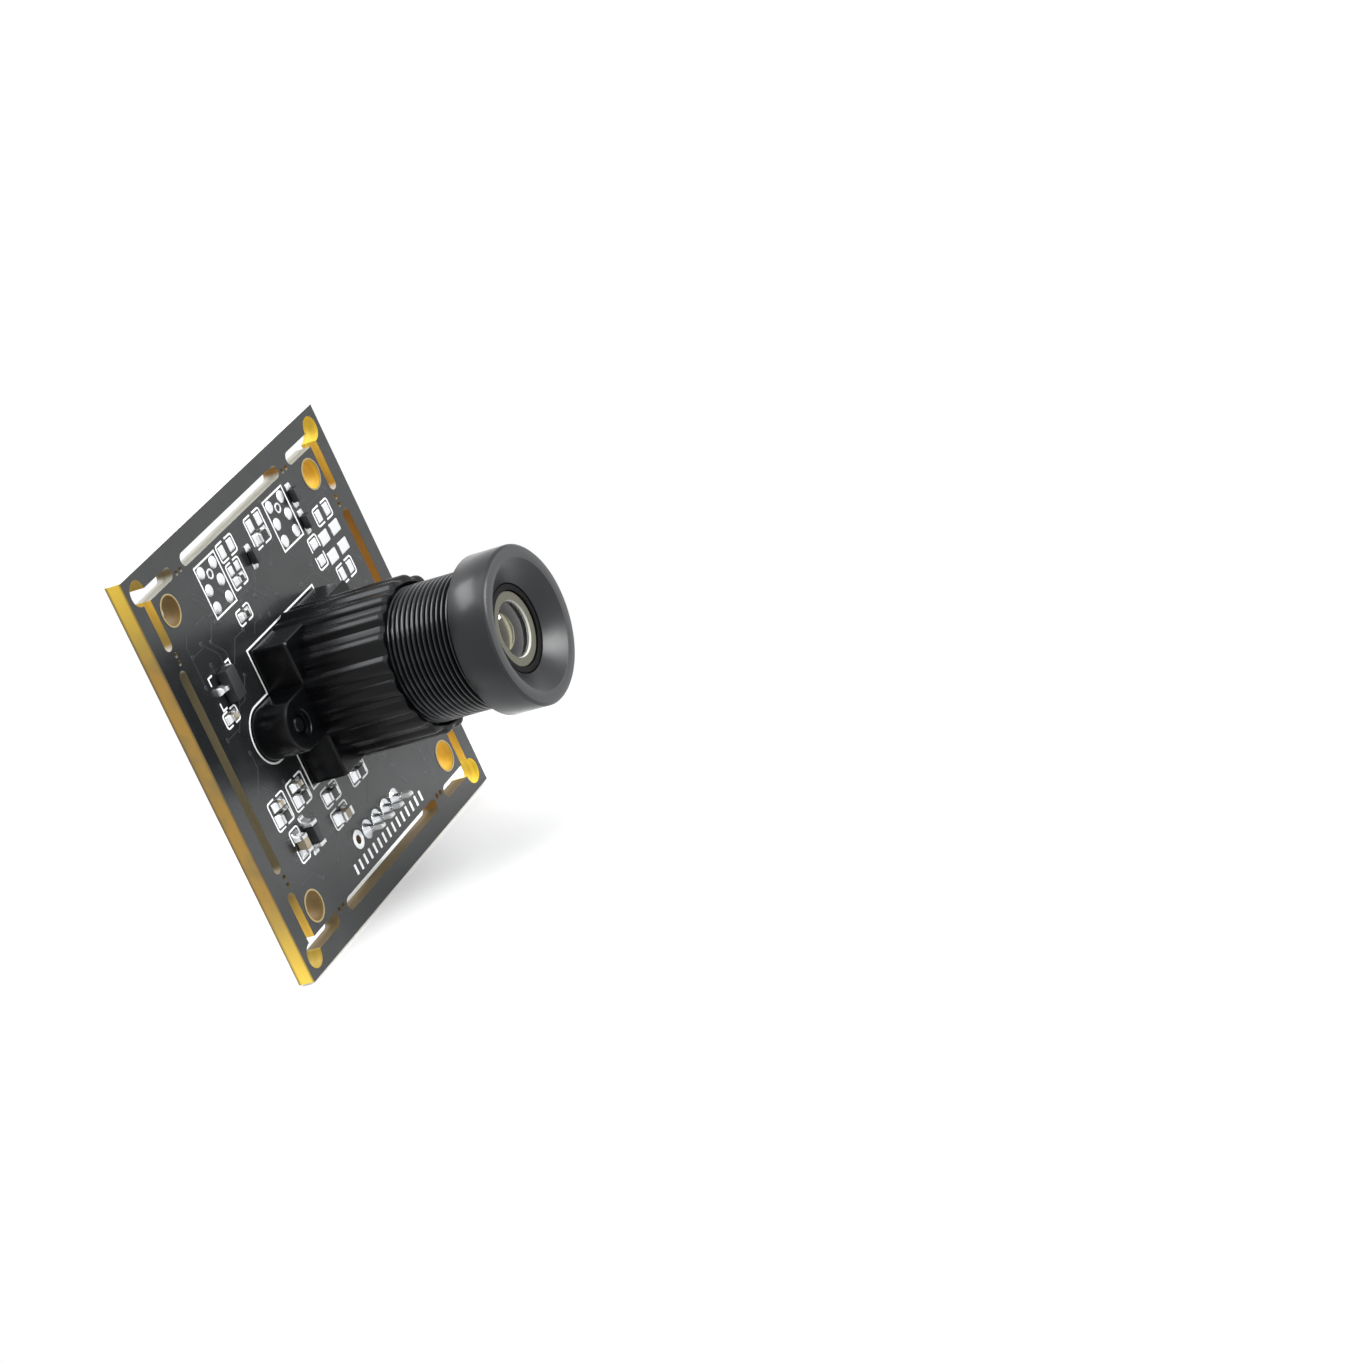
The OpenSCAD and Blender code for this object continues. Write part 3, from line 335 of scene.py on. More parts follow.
class Shader:
    """A Principled material with short calls for the few nodes that the materials here need."""

    def __init__(self, name):
        self.mat = bpy.data.materials.new(name)
        self.mat.use_nodes = True
        self.tree = self.mat.node_tree
        self.tree.nodes.clear()
        out = self.tree.nodes.new("ShaderNodeOutputMaterial")
        self.bsdf = self.tree.nodes.new("ShaderNodeBsdfPrincipled")
        self.link(self.bsdf.outputs["BSDF"], out.inputs["Surface"])
        self.coord = self.tree.nodes.new("ShaderNodeTexCoord").outputs["Object"]

    def link(self, a, b):
        self.tree.links.new(a, b)

    def put(self, socket, value):
        """A constant goes on the socket itself, and an output is linked to it."""
        if isinstance(value, bpy.types.NodeSocket):
            self.link(value, socket)
        else:
            socket.default_value = value

    def set(self, **values):
        for key, value in values.items():
            self.put(self.bsdf.inputs[key.replace("_", " ")], value)
        return self

    def noise(self, scale, detail=3.0, stretch=(1, 1, 1), roughness=0.55):
        node = self.tree.nodes.new("ShaderNodeTexNoise")
        node.inputs["Scale"].default_value = scale
        node.inputs["Detail"].default_value = detail
        node.inputs["Roughness"].default_value = roughness
        vector = self.coord
        if stretch != (1, 1, 1):
            mapping = self.tree.nodes.new("ShaderNodeMapping")
            mapping.inputs["Scale"].default_value = stretch
            self.link(vector, mapping.inputs["Vector"])
            vector = mapping.outputs["Vector"]
        self.link(vector, node.inputs["Vector"])
        return node.outputs["Fac"]

    def ramp(self, value, low, high, out_low=0.0, out_high=1.0):
        node = self.tree.nodes.new("ShaderNodeMapRange")
        self.put(node.inputs["Value"], value)
        node.inputs["From Min"].default_value = low
        node.inputs["From Max"].default_value = high
        node.inputs["To Min"].default_value = out_low
        node.inputs["To Max"].default_value = out_high
        return node.outputs["Result"]

    def mix(self, factor, a, b):
        node = self.tree.nodes.new("ShaderNodeMix")
        node.data_type = "RGBA"
        self.put(node.inputs["Factor"], factor)
        self.put([s for s in node.inputs if s.name == "A" and s.type == "RGBA"][0], a)
        self.put([s for s in node.inputs if s.name == "B" and s.type == "RGBA"][0], b)
        return [s for s in node.outputs if s.type == "RGBA"][0]

    def math(self, kind, a, b=0.0):
        node = self.tree.nodes.new("ShaderNodeMath")
        node.operation = kind
        self.put(node.inputs[0], a)
        self.put(node.inputs[1], b)
        return node.outputs[0]

    def axes(self):
        node = self.tree.nodes.new("ShaderNodeSeparateXYZ")
        self.link(self.coord, node.inputs["Vector"])
        return node.outputs["X"], node.outputs["Y"], node.outputs["Z"]

    def facing(self):
        """Direction of the surface along the object's three axes."""
        node = self.tree.nodes.new("ShaderNodeSeparateXYZ")
        coord = self.coord.node.outputs["Normal"]
        self.link(coord, node.inputs["Vector"])
        return node.outputs["X"], node.outputs["Y"], node.outputs["Z"]

    def length(self, a, b):
        """Square root of a^2 + b^2."""
        return self.math("SQRT", self.math("ADD", self.math("MULTIPLY", a, a), self.math("MULTIPLY", b, b)))

    def radius(self):
        """Distance from the lens axis."""
        x, y, z = self.axes()
        return self.length(x, z)

    def from_corner(self, at):
        """Distance to the nearest of the four axes at the given distance across and up."""
        x, y, z = self.axes()
        return self.length(self.math("SUBTRACT", self.math("ABSOLUTE", x), at * MM),
                           self.math("SUBTRACT", self.math("ABSOLUTE", z), at * MM))

    def bump(self, height, distance, strength=1.0):
        """Height of 0 to 1 read as a relief of the distance given, in metres."""
        node = self.tree.nodes.new("ShaderNodeBump")
        node.inputs["Strength"].default_value = strength
        node.inputs["Distance"].default_value = distance
        self.link(height, node.inputs["Height"])
        self.link(node.outputs["Normal"], self.bsdf.inputs["Normal"])
        return self


def plain(name, colour, rough, metal=0.0, spread=0.06, scale=900, relief=0.0, relief_scale=6000, **sockets):
    """Colour that drifts by the spread either way, roughness that drifts with it, and a fine relief."""
    s = Shader(name)
    base = srgb(*colour)
    dark = tuple(c * (1 - spread) for c in base[:3]) + (1.0,)
    light = tuple(min(1, c * (1 + spread)) for c in base[:3]) + (1.0,)
    n = s.noise(scale)
    s.set(Base_Color=s.mix(s.ramp(n, 0.3, 0.7), dark, light),
          Roughness=s.ramp(n, 0.3, 0.7, rough * 0.92, min(1, rough * 1.08)), Metallic=metal, **sockets)
    if relief:
        s.bump(s.noise(relief_scale, 2.0), relief * MM)
    return s.mat


def mask_material():
    """Glossy dark mask on the two faces of the board, and bare laminate on its edges and in its slots.

    The laminate's colour goes by the side of the board and by the wall's own direction, and much of it is
    painted light and shade: walls that look up are paler with painted glare, walls that look sideways are
    painted shaded on the left and lit amber on the right, hole walls likewise, and the ends of the slots and
    edges get painted glare. A dark line runs along both rims of an edge.
    """
    s = Shader("solder_mask")
    x, y, z = s.axes()
    from_middle = s.math("ABSOLUTE", s.math("SUBTRACT", y, BOARD_T / 2 * MM))
    wall = s.math("LESS_THAN", from_middle, (BOARD_T / 2 - 0.012) * MM)
    far = s.math("MAXIMUM", s.math("ABSOLUTE", x), s.math("ABSOLUTE", z))
    outer = s.math("GREATER_THAN", far, (CAD_HIGH.x / MM - 0.03) * MM)
    # mask of walls that look up or down, where painted glare turns the laminate pale below
    up_facing_glare = s.ramp(s.math("ABSOLUTE", s.facing()[2]), 0.3, 0.8)
    layers = s.ramp(s.noise(2600, 2.0, (0.15, 1.0, 0.15)), 0.35, 0.65)
    blotches = s.ramp(s.noise(300, 2.0), 0.4, 0.6)
    # painted light and shade on sideways walls: shaded grey-olive on the left, lit amber on the right
    side = s.mix(s.ramp(x, -15 * MM, 15 * MM), srgb(112, 102, 72), srgb(176, 122, 20))
    # painted glare: bright yellow near the ends of the slots by the corners
    slot_end_glare = s.math("MULTIPLY", s.ramp(s.math("ABSOLUTE", z), 10.5 * MM, 16 * MM),
                    s.ramp(s.math("ABSOLUTE", x), 15.4 * MM, 16.2 * MM))
    side = s.mix(slot_end_glare, side, srgb(255, 212, 76))
    # painted shade and glare on walls that look up or down: brown-olive towards the bottom, pale towards the top
    up_wall_shade_and_glare = s.mix(s.ramp(z, -15 * MM, 15 * MM), srgb(122, 104, 68), srgb(190, 188, 178))
    # painted light and shade in the hole walls: shaded olive-brown on the left, lit yellow on the right
    hole = s.mix(s.ramp(x, -15 * MM, 15 * MM), srgb(118, 92, 48), srgb(238, 192, 44))
    at_corner = s.math("LESS_THAN", s.from_corner(CORNER_AT), 1.3 * MM)
    # painted glare in the corner holes: bright yellow, strongest towards the right
    hole = s.mix(s.math("MULTIPLY", at_corner, s.ramp(x, -15 * MM, 15 * MM, 0.4, 1.0)), hole, srgb(246, 214, 60))
    in_hole = s.math("MAXIMUM", s.math("LESS_THAN", s.from_corner(MOUNT_AT), 1.5 * MM), at_corner)
    inner_wall = s.mix(in_hole, s.mix(up_facing_glare, side, up_wall_shade_and_glare), hole)
    inner_wall = s.mix(s.math("MULTIPLY", layers, 0.22), inner_wall, srgb(92, 78, 46))
    edge_side = s.mix(blotches, srgb(150, 124, 62), srgb(176, 136, 54))
    # painted glare along the outer edge, brighter yellow towards its top and bottom ends
    edge_side = s.mix(s.ramp(s.math("ABSOLUTE", z), 11 * MM, 19 * MM), edge_side, srgb(246, 206, 66))
    edge_side = s.mix(s.ramp(from_middle, 0.5 * MM, 0.8 * MM), edge_side, srgb(82, 68, 40))
    # painted glare on the edges that look up or down, nearly white
    outer_wall = s.mix(up_facing_glare, edge_side, srgb(222, 219, 206))
    copper = s.ramp(s.noise(260, 4.0), 0.44, 0.56)
    face = s.mix(copper, srgb(*MASK_DARK), srgb(*MASK_LIGHT))
    s.set(Base_Color=s.mix(wall, face, s.mix(outer, inner_wall, outer_wall)),
          Roughness=s.ramp(wall, 0, 1, 0.24, 0.6), Specular_IOR_Level=0.6)
    s.bump(s.noise(3000, 3.0), 0.002 * MM)
    return s.mat


def tinned_material():
    """Bright tin, and a dull yellowish rim round the four mounting holes."""
    s = Shader("tinned_pads")
    rim = s.math("LESS_THAN", s.from_corner(MOUNT_AT), 1.6 * MM)
    s.set(Base_Color=s.mix(rim, srgb(236, 238, 240), srgb(150, 134, 92)), Metallic=s.ramp(rim, 0, 1, 0.85, 0.1),
          Roughness=s.ramp(s.noise(1500), 0.3, 0.7, 0.27, 0.33))
    s.bump(s.noise(1500, 2.0), 0.01 * MM)
    return s.mat


def resistor_material():
    """Pale ceramic up to a height over the board, then black glaze."""
    s = Shader("resistor_glaze")
    x, y, z = s.axes()
    over = s.math("SUBTRACT", s.math("ABSOLUTE", s.math("SUBTRACT", y, BOARD_T / 2 * MM)), BOARD_T / 2 * MM)
    top = s.math("GREATER_THAN", over, 0.3 * MM)
    s.set(Base_Color=s.mix(top, srgb(150, 148, 142), srgb(22, 22, 25)),
          Roughness=s.ramp(s.noise(4000), 0.3, 0.7, 0.3, 0.42))
    return s.mat


def barrel_material():
    """Satin dark finish, almost black on the wall round the glass, with painted shade that makes the thread's
    roots almost black.

    The roots lie within a radius behind the head, and the glass wall within a smaller one. The cone
    is glossier than the sides, and the flat front face is the glossiest. The head's side and the
    thread's crests have a weak coat, which lights their upper and lower rims.
    """
    s = Shader("anodised_barrel")
    x, y, z = s.axes()
    radius = s.radius()
    # painted shade in the thread's roots, where the crests shade them: near-black colour and less gloss
    root = s.math("MULTIPLY", s.ramp(radius, 5.9 * MM, 5.74 * MM), s.math("GREATER_THAN", y, -18.9 * MM))
    black = s.math("MAXIMUM", root, s.math("LESS_THAN", radius, 3.95 * MM))
    forward = s.facing()[1]
    gloss = s.math("ADD", s.ramp(forward, -0.4, -0.6, 0.28, 0.44), s.ramp(forward, -0.9, -0.97, 0.0, 0.42))
    side = s.math("MULTIPLY", s.math("LESS_THAN", s.math("ABSOLUTE", forward), 0.3),
                  s.math("GREATER_THAN", radius, 5.88 * MM))
    # the root share of the black mask is painted shade, and the wall round the glass is black in its own right
    s.set(Base_Color=s.mix(black, srgb(25, 27, 30), srgb(6, 6, 7)),
          Roughness=s.ramp(s.noise(1200), 0.3, 0.7, 0.3, 0.34),
          Coat_Weight=side, Coat_IOR=1.2, Coat_Roughness=0.2,
          Specular_IOR_Level=s.math("MULTIPLY", gloss, s.ramp(black, 0, 1, 1.0, 0.12)))
    s.bump(s.noise(7000, 2.0), 0.002 * MM)
    return s.mat


def front_glass_material():
    """Clear coated glass with a ground ring outside it, and between the two a white wall whose white is a
    painted reflection, standing in for the bright arc reflected inside the lens.

    All lie between radii from the lens axis. The wall looks sideways, and the rear of the ring is painted dark
    as painted shade inside the lens.
    """
    s = Shader("lens_glass")
    x, y, z = s.axes()
    radius = s.radius()
    ground = s.ramp(radius, 2.4 * MM, 2.44 * MM)
    # painted reflection: the white wall at the dome's edge stands in for the bright arc reflected inside the lens
    upright = s.math("LESS_THAN", s.math("ABSOLUTE", s.facing()[1]), 0.7)
    wall = s.math("MULTIPLY", upright, s.math("LESS_THAN", radius, 2.6 * MM))
    # painted shade: the rear of the ground ring is dark, standing in for the shade inside the lens
    rear = s.math("GREATER_THAN", y, -19.3 * MM)
    ring = s.mix(rear, srgb(98, 97, 86), srgb(34, 32, 22))
    dull = s.math("MULTIPLY", rear, ground)
    colour = s.mix(ground, srgb(170, 164, 132), ring)
    s.set(Base_Color=s.mix(wall, colour, srgb(236, 236, 228)), Roughness=s.ramp(ground, 0, 1, 0.02, 0.36),
          Transmission_Weight=s.ramp(ground, 0, 1, 1.0, 0.05), Specular_IOR_Level=s.ramp(dull, 0, 1, 0.11, 0.0), IOR=1.62)
    return s.mat


def inner_glass_material():
    """Coated glass of the elements further in, tinted warm."""
    s = Shader("inner_lens_glass")
    s.set(Base_Color=srgb(176, 166, 122), Roughness=0.015, Transmission_Weight=1.0, Specular_IOR_Level=0.25, IOR=1.7)
    return s.mat


MASK_DARK = (25, 27, 28)
MASK_LIGHT = (31, 33, 34)
MOUNT_AT, CORNER_AT = 14.2, 17.3
M = {
    "solder_mask": mask_material(),
    "trace": plain("trace_mask", (46, 48, 51), 0.26, spread=0.04),
    "tinned_pads": tinned_material(),
    "white_ink": plain("white_ink", (240, 241, 242), 0.6, spread=0.02),
    "holder_plastic": plain("holder_plastic", (6, 7, 9), 0.25, spread=0.1, relief=0.0015, relief_scale=1500,
                            Specular_IOR_Level=0.2),
    "black_screws": plain("black_screws", (17, 18, 21), 0.2, 0.3),
    "sensor_case": plain("sensor_case", (34, 38, 46), 0.6),
    "silicon": plain("silicon", (47, 58, 85), 0.15, 0.5),
    "clear_glass": plain("clear_glass", (240, 246, 248), 0.02, spread=0.0, Transmission_Weight=1.0, IOR=1.52),
    "filter_glass": plain("filter_glass", (150, 190, 190), 0.02, spread=0.0, Transmission_Weight=1.0, IOR=1.52),
    "lens_glass": front_glass_material(),
    "inner_glass": inner_glass_material(),
    "anodised_barrel": barrel_material(),
    "black_ring": plain("black_ring", (9, 9, 10), 0.45, Specular_IOR_Level=0.12),
    "connector_nylon": plain("connector_nylon", (240, 240, 234), 0.45, spread=0.015,
                             Subsurface_Weight=0.25, Subsurface_Scale=0.0006),
    "tinned_leads": plain("tinned_leads", (212, 214, 214), 0.32, 0.9, 0.04),
    "solder": plain("solder", (222, 225, 228), 0.22, 0.95, 0.04, 1600, 0.015, 1600),
    "chip_epoxy": plain("chip_epoxy", (62, 64, 66), 0.55, spread=0.05, relief=0.008, relief_scale=9000),
    "small_chip_epoxy": plain("small_chip_epoxy", (36, 37, 40), 0.5, spread=0.06, relief=0.006, relief_scale=9000),
    "ferrite": plain("ferrite", (98, 106, 103), 0.55, spread=0.08, relief=0.012, relief_scale=5000),
    "brown_ceramic": plain("brown_ceramic", (142, 104, 58), 0.42, spread=0.1),
    "grey_ceramic": plain("grey_ceramic", (150, 138, 116), 0.45, spread=0.08),
    "resistor_glaze": resistor_material(),
}

def dress(node, mat):
    """A CAD node that keeps its own mesh gets its material."""
    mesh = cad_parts[node].data
    mesh.materials.clear()
    mesh.materials.append(mat)


for node_name, key in {
    "circuit_board": "solder_mask", "front_legend": "white_ink", "rear_legend": "white_ink",
    "sensor_package": "sensor_case", "sensor_die": "silicon", "sensor_cover_glass": "clear_glass",
    "infrared_filter": "filter_glass", "front_lens_spacer": "black_ring", "rear_lens_spacer": "black_ring",
    "aperture_stop": "black_ring", "middle_lens_element": "inner_glass", "rear_lens_element": "inner_glass",
}.items():
    dress(node_name, M[key])


# ---------- small parts, both sides ----------

def boxes_of(nodes, side):
    """Boxes of all solids of some nodes."""
    return [(low, high) for node in nodes for low, high, _ in solids(node, side)]


def pad_mound(low, high, feet):
    """Solder on one pad as a height field over the pad's plan.

    The height is top sqrt(1 - (1 - e/w)^2), with e the distance to the pad's border and w 0.22. Near a
    foot that stands on the pad it is at least climb exp(-d/0.13), with d the distance to the foot.
    Corners are rounded by pulling square corners onto arcs. A fan of triangles closes the underside.
    """
    n, m = 17, 13
    s, t = [np.sin(np.linspace(-PI / 2, PI / 2, k)) for k in (n, m)]
    a, b = (high - low)[:2] / 2
    cu, cv = (high + low)[:2] / 2
    u, v = np.meshgrid(a * s, b * t, indexing="ij")
    edge = np.minimum(a - np.abs(u), b - np.abs(v))
    top = high[2] + 0.05
    height = top * np.sqrt(1 - (1 - np.clip(edge / 0.22, 0, 1)) ** 2)
    for f_low, f_high in feet:
        du = np.maximum(np.maximum(f_low[0] - cu - u, u + cu - f_high[0]), 0)
        dv = np.maximum(np.maximum(f_low[1] - cv - v, v + cv - f_high[1]), 0)
        climb = 0.75 * (f_high[2] - f_low[2]) * np.exp(-np.hypot(du, dv) / 0.13)
        height = np.maximum(height, (high[2] + climb) * np.clip(edge / 0.05, 0, 1) ** 0.5)
    r = min(0.12, 0.4 * a, 0.4 * b)
    qu, qv = np.clip(u, r - a, a - r), np.clip(v, r - b, b - r)
    du, dv = u - qu, v - qv
    far = np.hypot(du, dv)
    pull = np.where(far > 0, np.maximum(np.abs(du), np.abs(dv)) / np.where(far > 0, far, 1), 1)
    points = np.stack([cu + qu + du * pull, cv + qv + dv * pull, height], -1).reshape(-1, 3)
    faces = grid_faces(n, m)
    i = np.arange(n * m).reshape(n, m)
    rim = np.concatenate([i[:-1, 0], i[-1, :-1], i[:0:-1, -1], i[0, :0:-1]])
    fan = np.stack([np.full(len(rim), n * m), np.roll(rim, -1), rim, np.full(len(rim), -1)], 1)
    return np.concatenate([points, [[cu, cv, 0]]]), np.concatenate([faces, fan])


def round_pad(low, high):
    """A low solder dome on a round pad."""
    r = (high - low)[0] / 2
    a = np.linspace(0, PI / 2, 8)
    profile = [(0, 0)] + [(r * math.cos(k) ** 0.6, (high[2] + 0.05) * math.sin(k)) for k in a]
    return revolve(profile, (low + high)[:2] / 2, 40)


def ring_pad(low, high, inner):
    """A tinned ring round a hole."""
    r, h = (high - low)[0] / 2, high[2] + 0.01
    profile = eased([(inner, 0), (inner, h), (r, h), (r, 0)], [0, 0.03, 0.03, 0], 3)
    return revolve(profile, (low + high)[:2] / 2, 56, closed=True)


def pads(side, node, feet_nodes):
    """Mounds on the square pads, which have eight points, and domes on the round ones.

    A round pad whose points come nearer to its middle than its rim has a hole of that radius.
    """
    feet = boxes_of(feet_nodes, side)
    parts = []
    for low, high, points in solids(node, side):
        nearest = np.linalg.norm(points[:, :2] - (low + high)[:2] / 2, axis=1).min()
        if len(points) == 8:
            mine = [f for f in feet if (f[0][:2] < high[:2]).all() and (f[1][:2] > low[:2]).all()]
            parts.append(pad_mound(low, high, mine))
        elif nearest > 0.45 * (high - low)[0]:
            parts.append(round_pad(low, high))
        else:
            parts.append(ring_pad(low, high, nearest))
    piece(node + "_solder", parts, M["tinned_pads"], replaces=(node,), side=side)


pads("front", "front_pads", ["front_capacitor_ends", "front_resistor_ends", "signal_transistor_leads",
                             "lens_side_regulator_leads", "protection_diode_ends"])
pads("rear", "rear_pads", ["rear_capacitor_ends", "rear_resistor_ends", "flash_memory_leads",
                           "core_regulator_leads", "supply_regulator_leads", "power_inductor_ends"])


def small_bodies(node, side, mat, r=0.06):
    parts = [rounded_box(low, high, r) for low, high, _ in solids(node, side)]
    piece(node + "_body", parts, M[mat], replaces=(node,), side=side)


def metal_ends(node, side):
    """End caps stand a little proud of the bodies they hold."""
    grow = np.array([0.008, 0.015, 0.015])
    parts = []
    for low, high, _ in solids(node, side):
        out = grow if (high - low)[0] < (high - low)[1] else grow[[1, 0, 2]]
        parts.append(rounded_box(low - out * [1, 1, 0], high + out, 0.07))
    piece(node + "_caps", parts, M["tinned_leads"], replaces=(node,), side=side)


for side in ("front", "rear"):
    for node_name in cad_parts:
        if not node_name.startswith(side + "_"):
            continue
        if "brown" in node_name and side == "rear":
            small_bodies(node_name, side, "brown_ceramic")
        elif "brown" in node_name or "grey" in node_name:
            small_bodies(node_name, side, "grey_ceramic")
        elif node_name.endswith("_resistors"):
            small_bodies(node_name, side, "resistor_glaze", 0.035)
        elif node_name.endswith("_ends"):
            metal_ends(node_name, side)


def moulded(node, side, mat, slope, dimple=None):
    """Moulded chip bodies with draft on both halves and, if asked for, a dimple near a corner."""
    parts = []
    for low, high, _ in solids(node, side):
        if dimple:
            inset, radius, depth, corner = dimple
            centre = np.where(np.array(corner) > 0, high[:2] - inset, low[:2] + inset)
            lines = np.linspace(-2 * radius, 2 * radius, 17)
            part = rounded_box(low, high, 0.05, 2, centre[0] + lines, centre[1] + lines)
            part = dimpled(part, centre, radius, depth, high[2])
        else:
            part = rounded_box(low, high, 0.06)
        parts.append(drafted(part, low, high, slope))
    piece(node + "_shell", parts, M[mat], replaces=(node,), side=side)


moulded("processor_body", "rear", "chip_epoxy", 0.04, (0.85, 0.32, 0.06, (1, 1)))
moulded("flash_memory_body", "rear", "chip_epoxy", 0.12, (0.75, 0.27, 0.05, (1, 1)))
for node_name, side in (("core_regulator_body", "rear"), ("supply_regulator_body", "rear"),
                        ("lens_side_regulator_body", "front"), ("signal_transistor_bodies", "front"),
                        ("protection_diode_body", "front")):
    moulded(node_name, side, "small_chip_epoxy", 0.1)
metal_ends("protection_diode_ends", "front")


def gull_wings(node, body_nodes, side, thick):
    """Bent leads: out of the body, down in an easy curve, and flat on the pad."""
    bodies = boxes_of(body_nodes, side)
    parts = []
    for low, high, _ in solids(node, side):
        middle = (low + high) / 2
        home = min(bodies, key=lambda b: np.linalg.norm((b[0] + b[1])[:2] / 2 - middle[:2]))
        gap = middle[:2] - (home[0] + home[1])[:2] / 2
        free = np.abs(gap) - (home[1] - home[0])[:2] / 2
        k = int(np.argmax(free))
        sign = 1 if gap[k] > 0 else -1
        near, far = (low[k], high[k]) if sign > 0 else (high[k], low[k])
        reach = far - near
        plan = [near - 0.15 * sign, near + 0.30 * reach, near + 0.52 * reach, far]
        heights = [high[2] - thick / 2] * 2 + [low[2] + thick / 2] * 2
        line = np.zeros((4, 3))
        line[:, k], line[:, 1 - k], line[:, 2] = plan, middle[1 - k], heights
        across = np.eye(3)[1 - k]
        parts.append(ribbon(eased(line, 0.16, 4), across, (high - low)[1 - k], thick))
    piece(node + "_wings", parts, M["tinned_leads"], replaces=(node,), side=side)


gull_wings("flash_memory_leads", ["flash_memory_body"], "rear", 0.17)
gull_wings("core_regulator_leads", ["core_regulator_body"], "rear", 0.15)
gull_wings("supply_regulator_leads", ["supply_regulator_body"], "rear", 0.15)
gull_wings("lens_side_regulator_leads", ["lens_side_regulator_body"], "front", 0.15)

parts = [rounded_box(low, high, 0.05) for low, high, _ in solids("signal_transistor_leads", "front")]
piece("signal_transistor_leads_flat", parts, M["tinned_leads"],
      replaces=("signal_transistor_leads",))

parts = []
for low, high, _ in solids("processor_leads", "rear"):
    grow = np.array([0.0, 0.0, 0.0])
    parts.append(rounded_box(low, high + [0, 0, 0.02], 0.06))
piece("processor_leads_solder", parts, M["solder"], replaces=("processor_leads",), side="rear")

low, high, _ = solids("power_inductor_core", "rear")[0]
w, l = (high - low)[:2]
cut = 0.5
octagon = np.array([(w / 2, -l / 2 + cut), (w / 2, l / 2 - cut), (w / 2 - cut, l / 2), (cut - w / 2, l / 2),
                    (-w / 2, l / 2 - cut), (-w / 2, cut - l / 2), (cut - w / 2, -l / 2), (w / 2 - cut, -l / 2)])
outline = eased(octagon, 0.12, 3, closed=True)
tall = high[2] - low[2]
rings = [ring_at(outline * k, low[2] + tall * h, (low + high)[:2] / 2)
         for k, h in ((0.97, 0.0), (1.0, 0.05), (1.0, 0.22), (0.955, 0.27), (0.955, 0.6), (1.0, 0.65), (1.0, 0.95),
                      (0.985, 0.985), (0.95, 1.0), (0.55, 1.0))]
piece("power_inductor", [skin(rings)], M["ferrite"], replaces=("power_inductor_core",), side="rear")
metal_ends("power_inductor_ends", "rear")


# ---------- holder and screws ----------

holder_low, holder_high, _ = solids("lens_holder", "front")[0]
HOLDER_H = holder_high[2]
EAR_X, EAR_R, EAR_H = 9.2, 2.4, 3.6
BASE_W, CAVITY_W, CAVITY_H, WEB_TOP = 13.0, 11.4, 2.3, 3.0
TUBE_R, FLUTES, GROOVE, RIDGE_R = 7.0, 20, 0.32, 1.0


def fluted_ring(h, inset=0.0, bore=None, steps=16):
    """Ring of the fluted tube, or a circle with points at the same angles.

    Each ridge is an arc of radius q about a point at R - q from the axis, so at the angle f from its
    middle r = (R - q) cos f + sqrt(q^2 - (R - q)^2 sin^2 f). The grooves stop at R - groove.
    """
    a = np.arange(FLUTES * steps) * 2 * PI / (FLUTES * steps)
    f = (((np.arange(FLUTES * steps) / steps + 0.5) % 1) - 0.5) * 2 * PI / FLUTES
    q, centre = RIDGE_R, TUBE_R - RIDGE_R
    r = centre * np.cos(f) + np.sqrt(q ** 2 - (centre * np.sin(f)) ** 2)
    r = np.maximum(r, TUBE_R - GROOVE) - inset if bore is None else np.full_like(a, bore)
    return np.stack([r * np.cos(a), r * np.sin(a), np.full_like(a, h)], 1)


def base_ring(h, w=BASE_W, circle=None):
    """Ring of the square base, or a circle with points at the same angles.

    Each side gets points between its two corners, so that the circle comes out round.
    """
    corner = rounded_rect(w, w, 0.35, 9).reshape(4, 9, 2)
    share = np.linspace(0, 1, 26)[None, 1:-1, None]
    last, following = corner[:, -1:], np.roll(corner, -1, axis=0)[:, :1]
    flat = np.concatenate([corner, last + share * (following - last)], 1).reshape(-1, 2)
    if circle is not None:
        flat = flat / np.linalg.norm(flat, axis=1, keepdims=True) * circle
    return ring_at(flat, h)


def ear_ring(side, h, inset=0.0, circle=None, steps=96):
    """Ring of one ear seen from its screw: a half circle outside, straight sides back into the base."""
    a = np.arange(steps) * 2 * PI / steps
    c, s = np.cos(a), np.sin(a)
    straight = np.minimum(EAR_R / np.maximum(np.abs(s), 1e-9), 3.3 / np.maximum(-c, 1e-9))
    r = np.where(c >= 0, EAR_R, straight) - inset if circle is None else np.full_like(a, circle)
    return np.stack([side * (EAR_X + r * c), r * s, np.full_like(a, h)], 1)


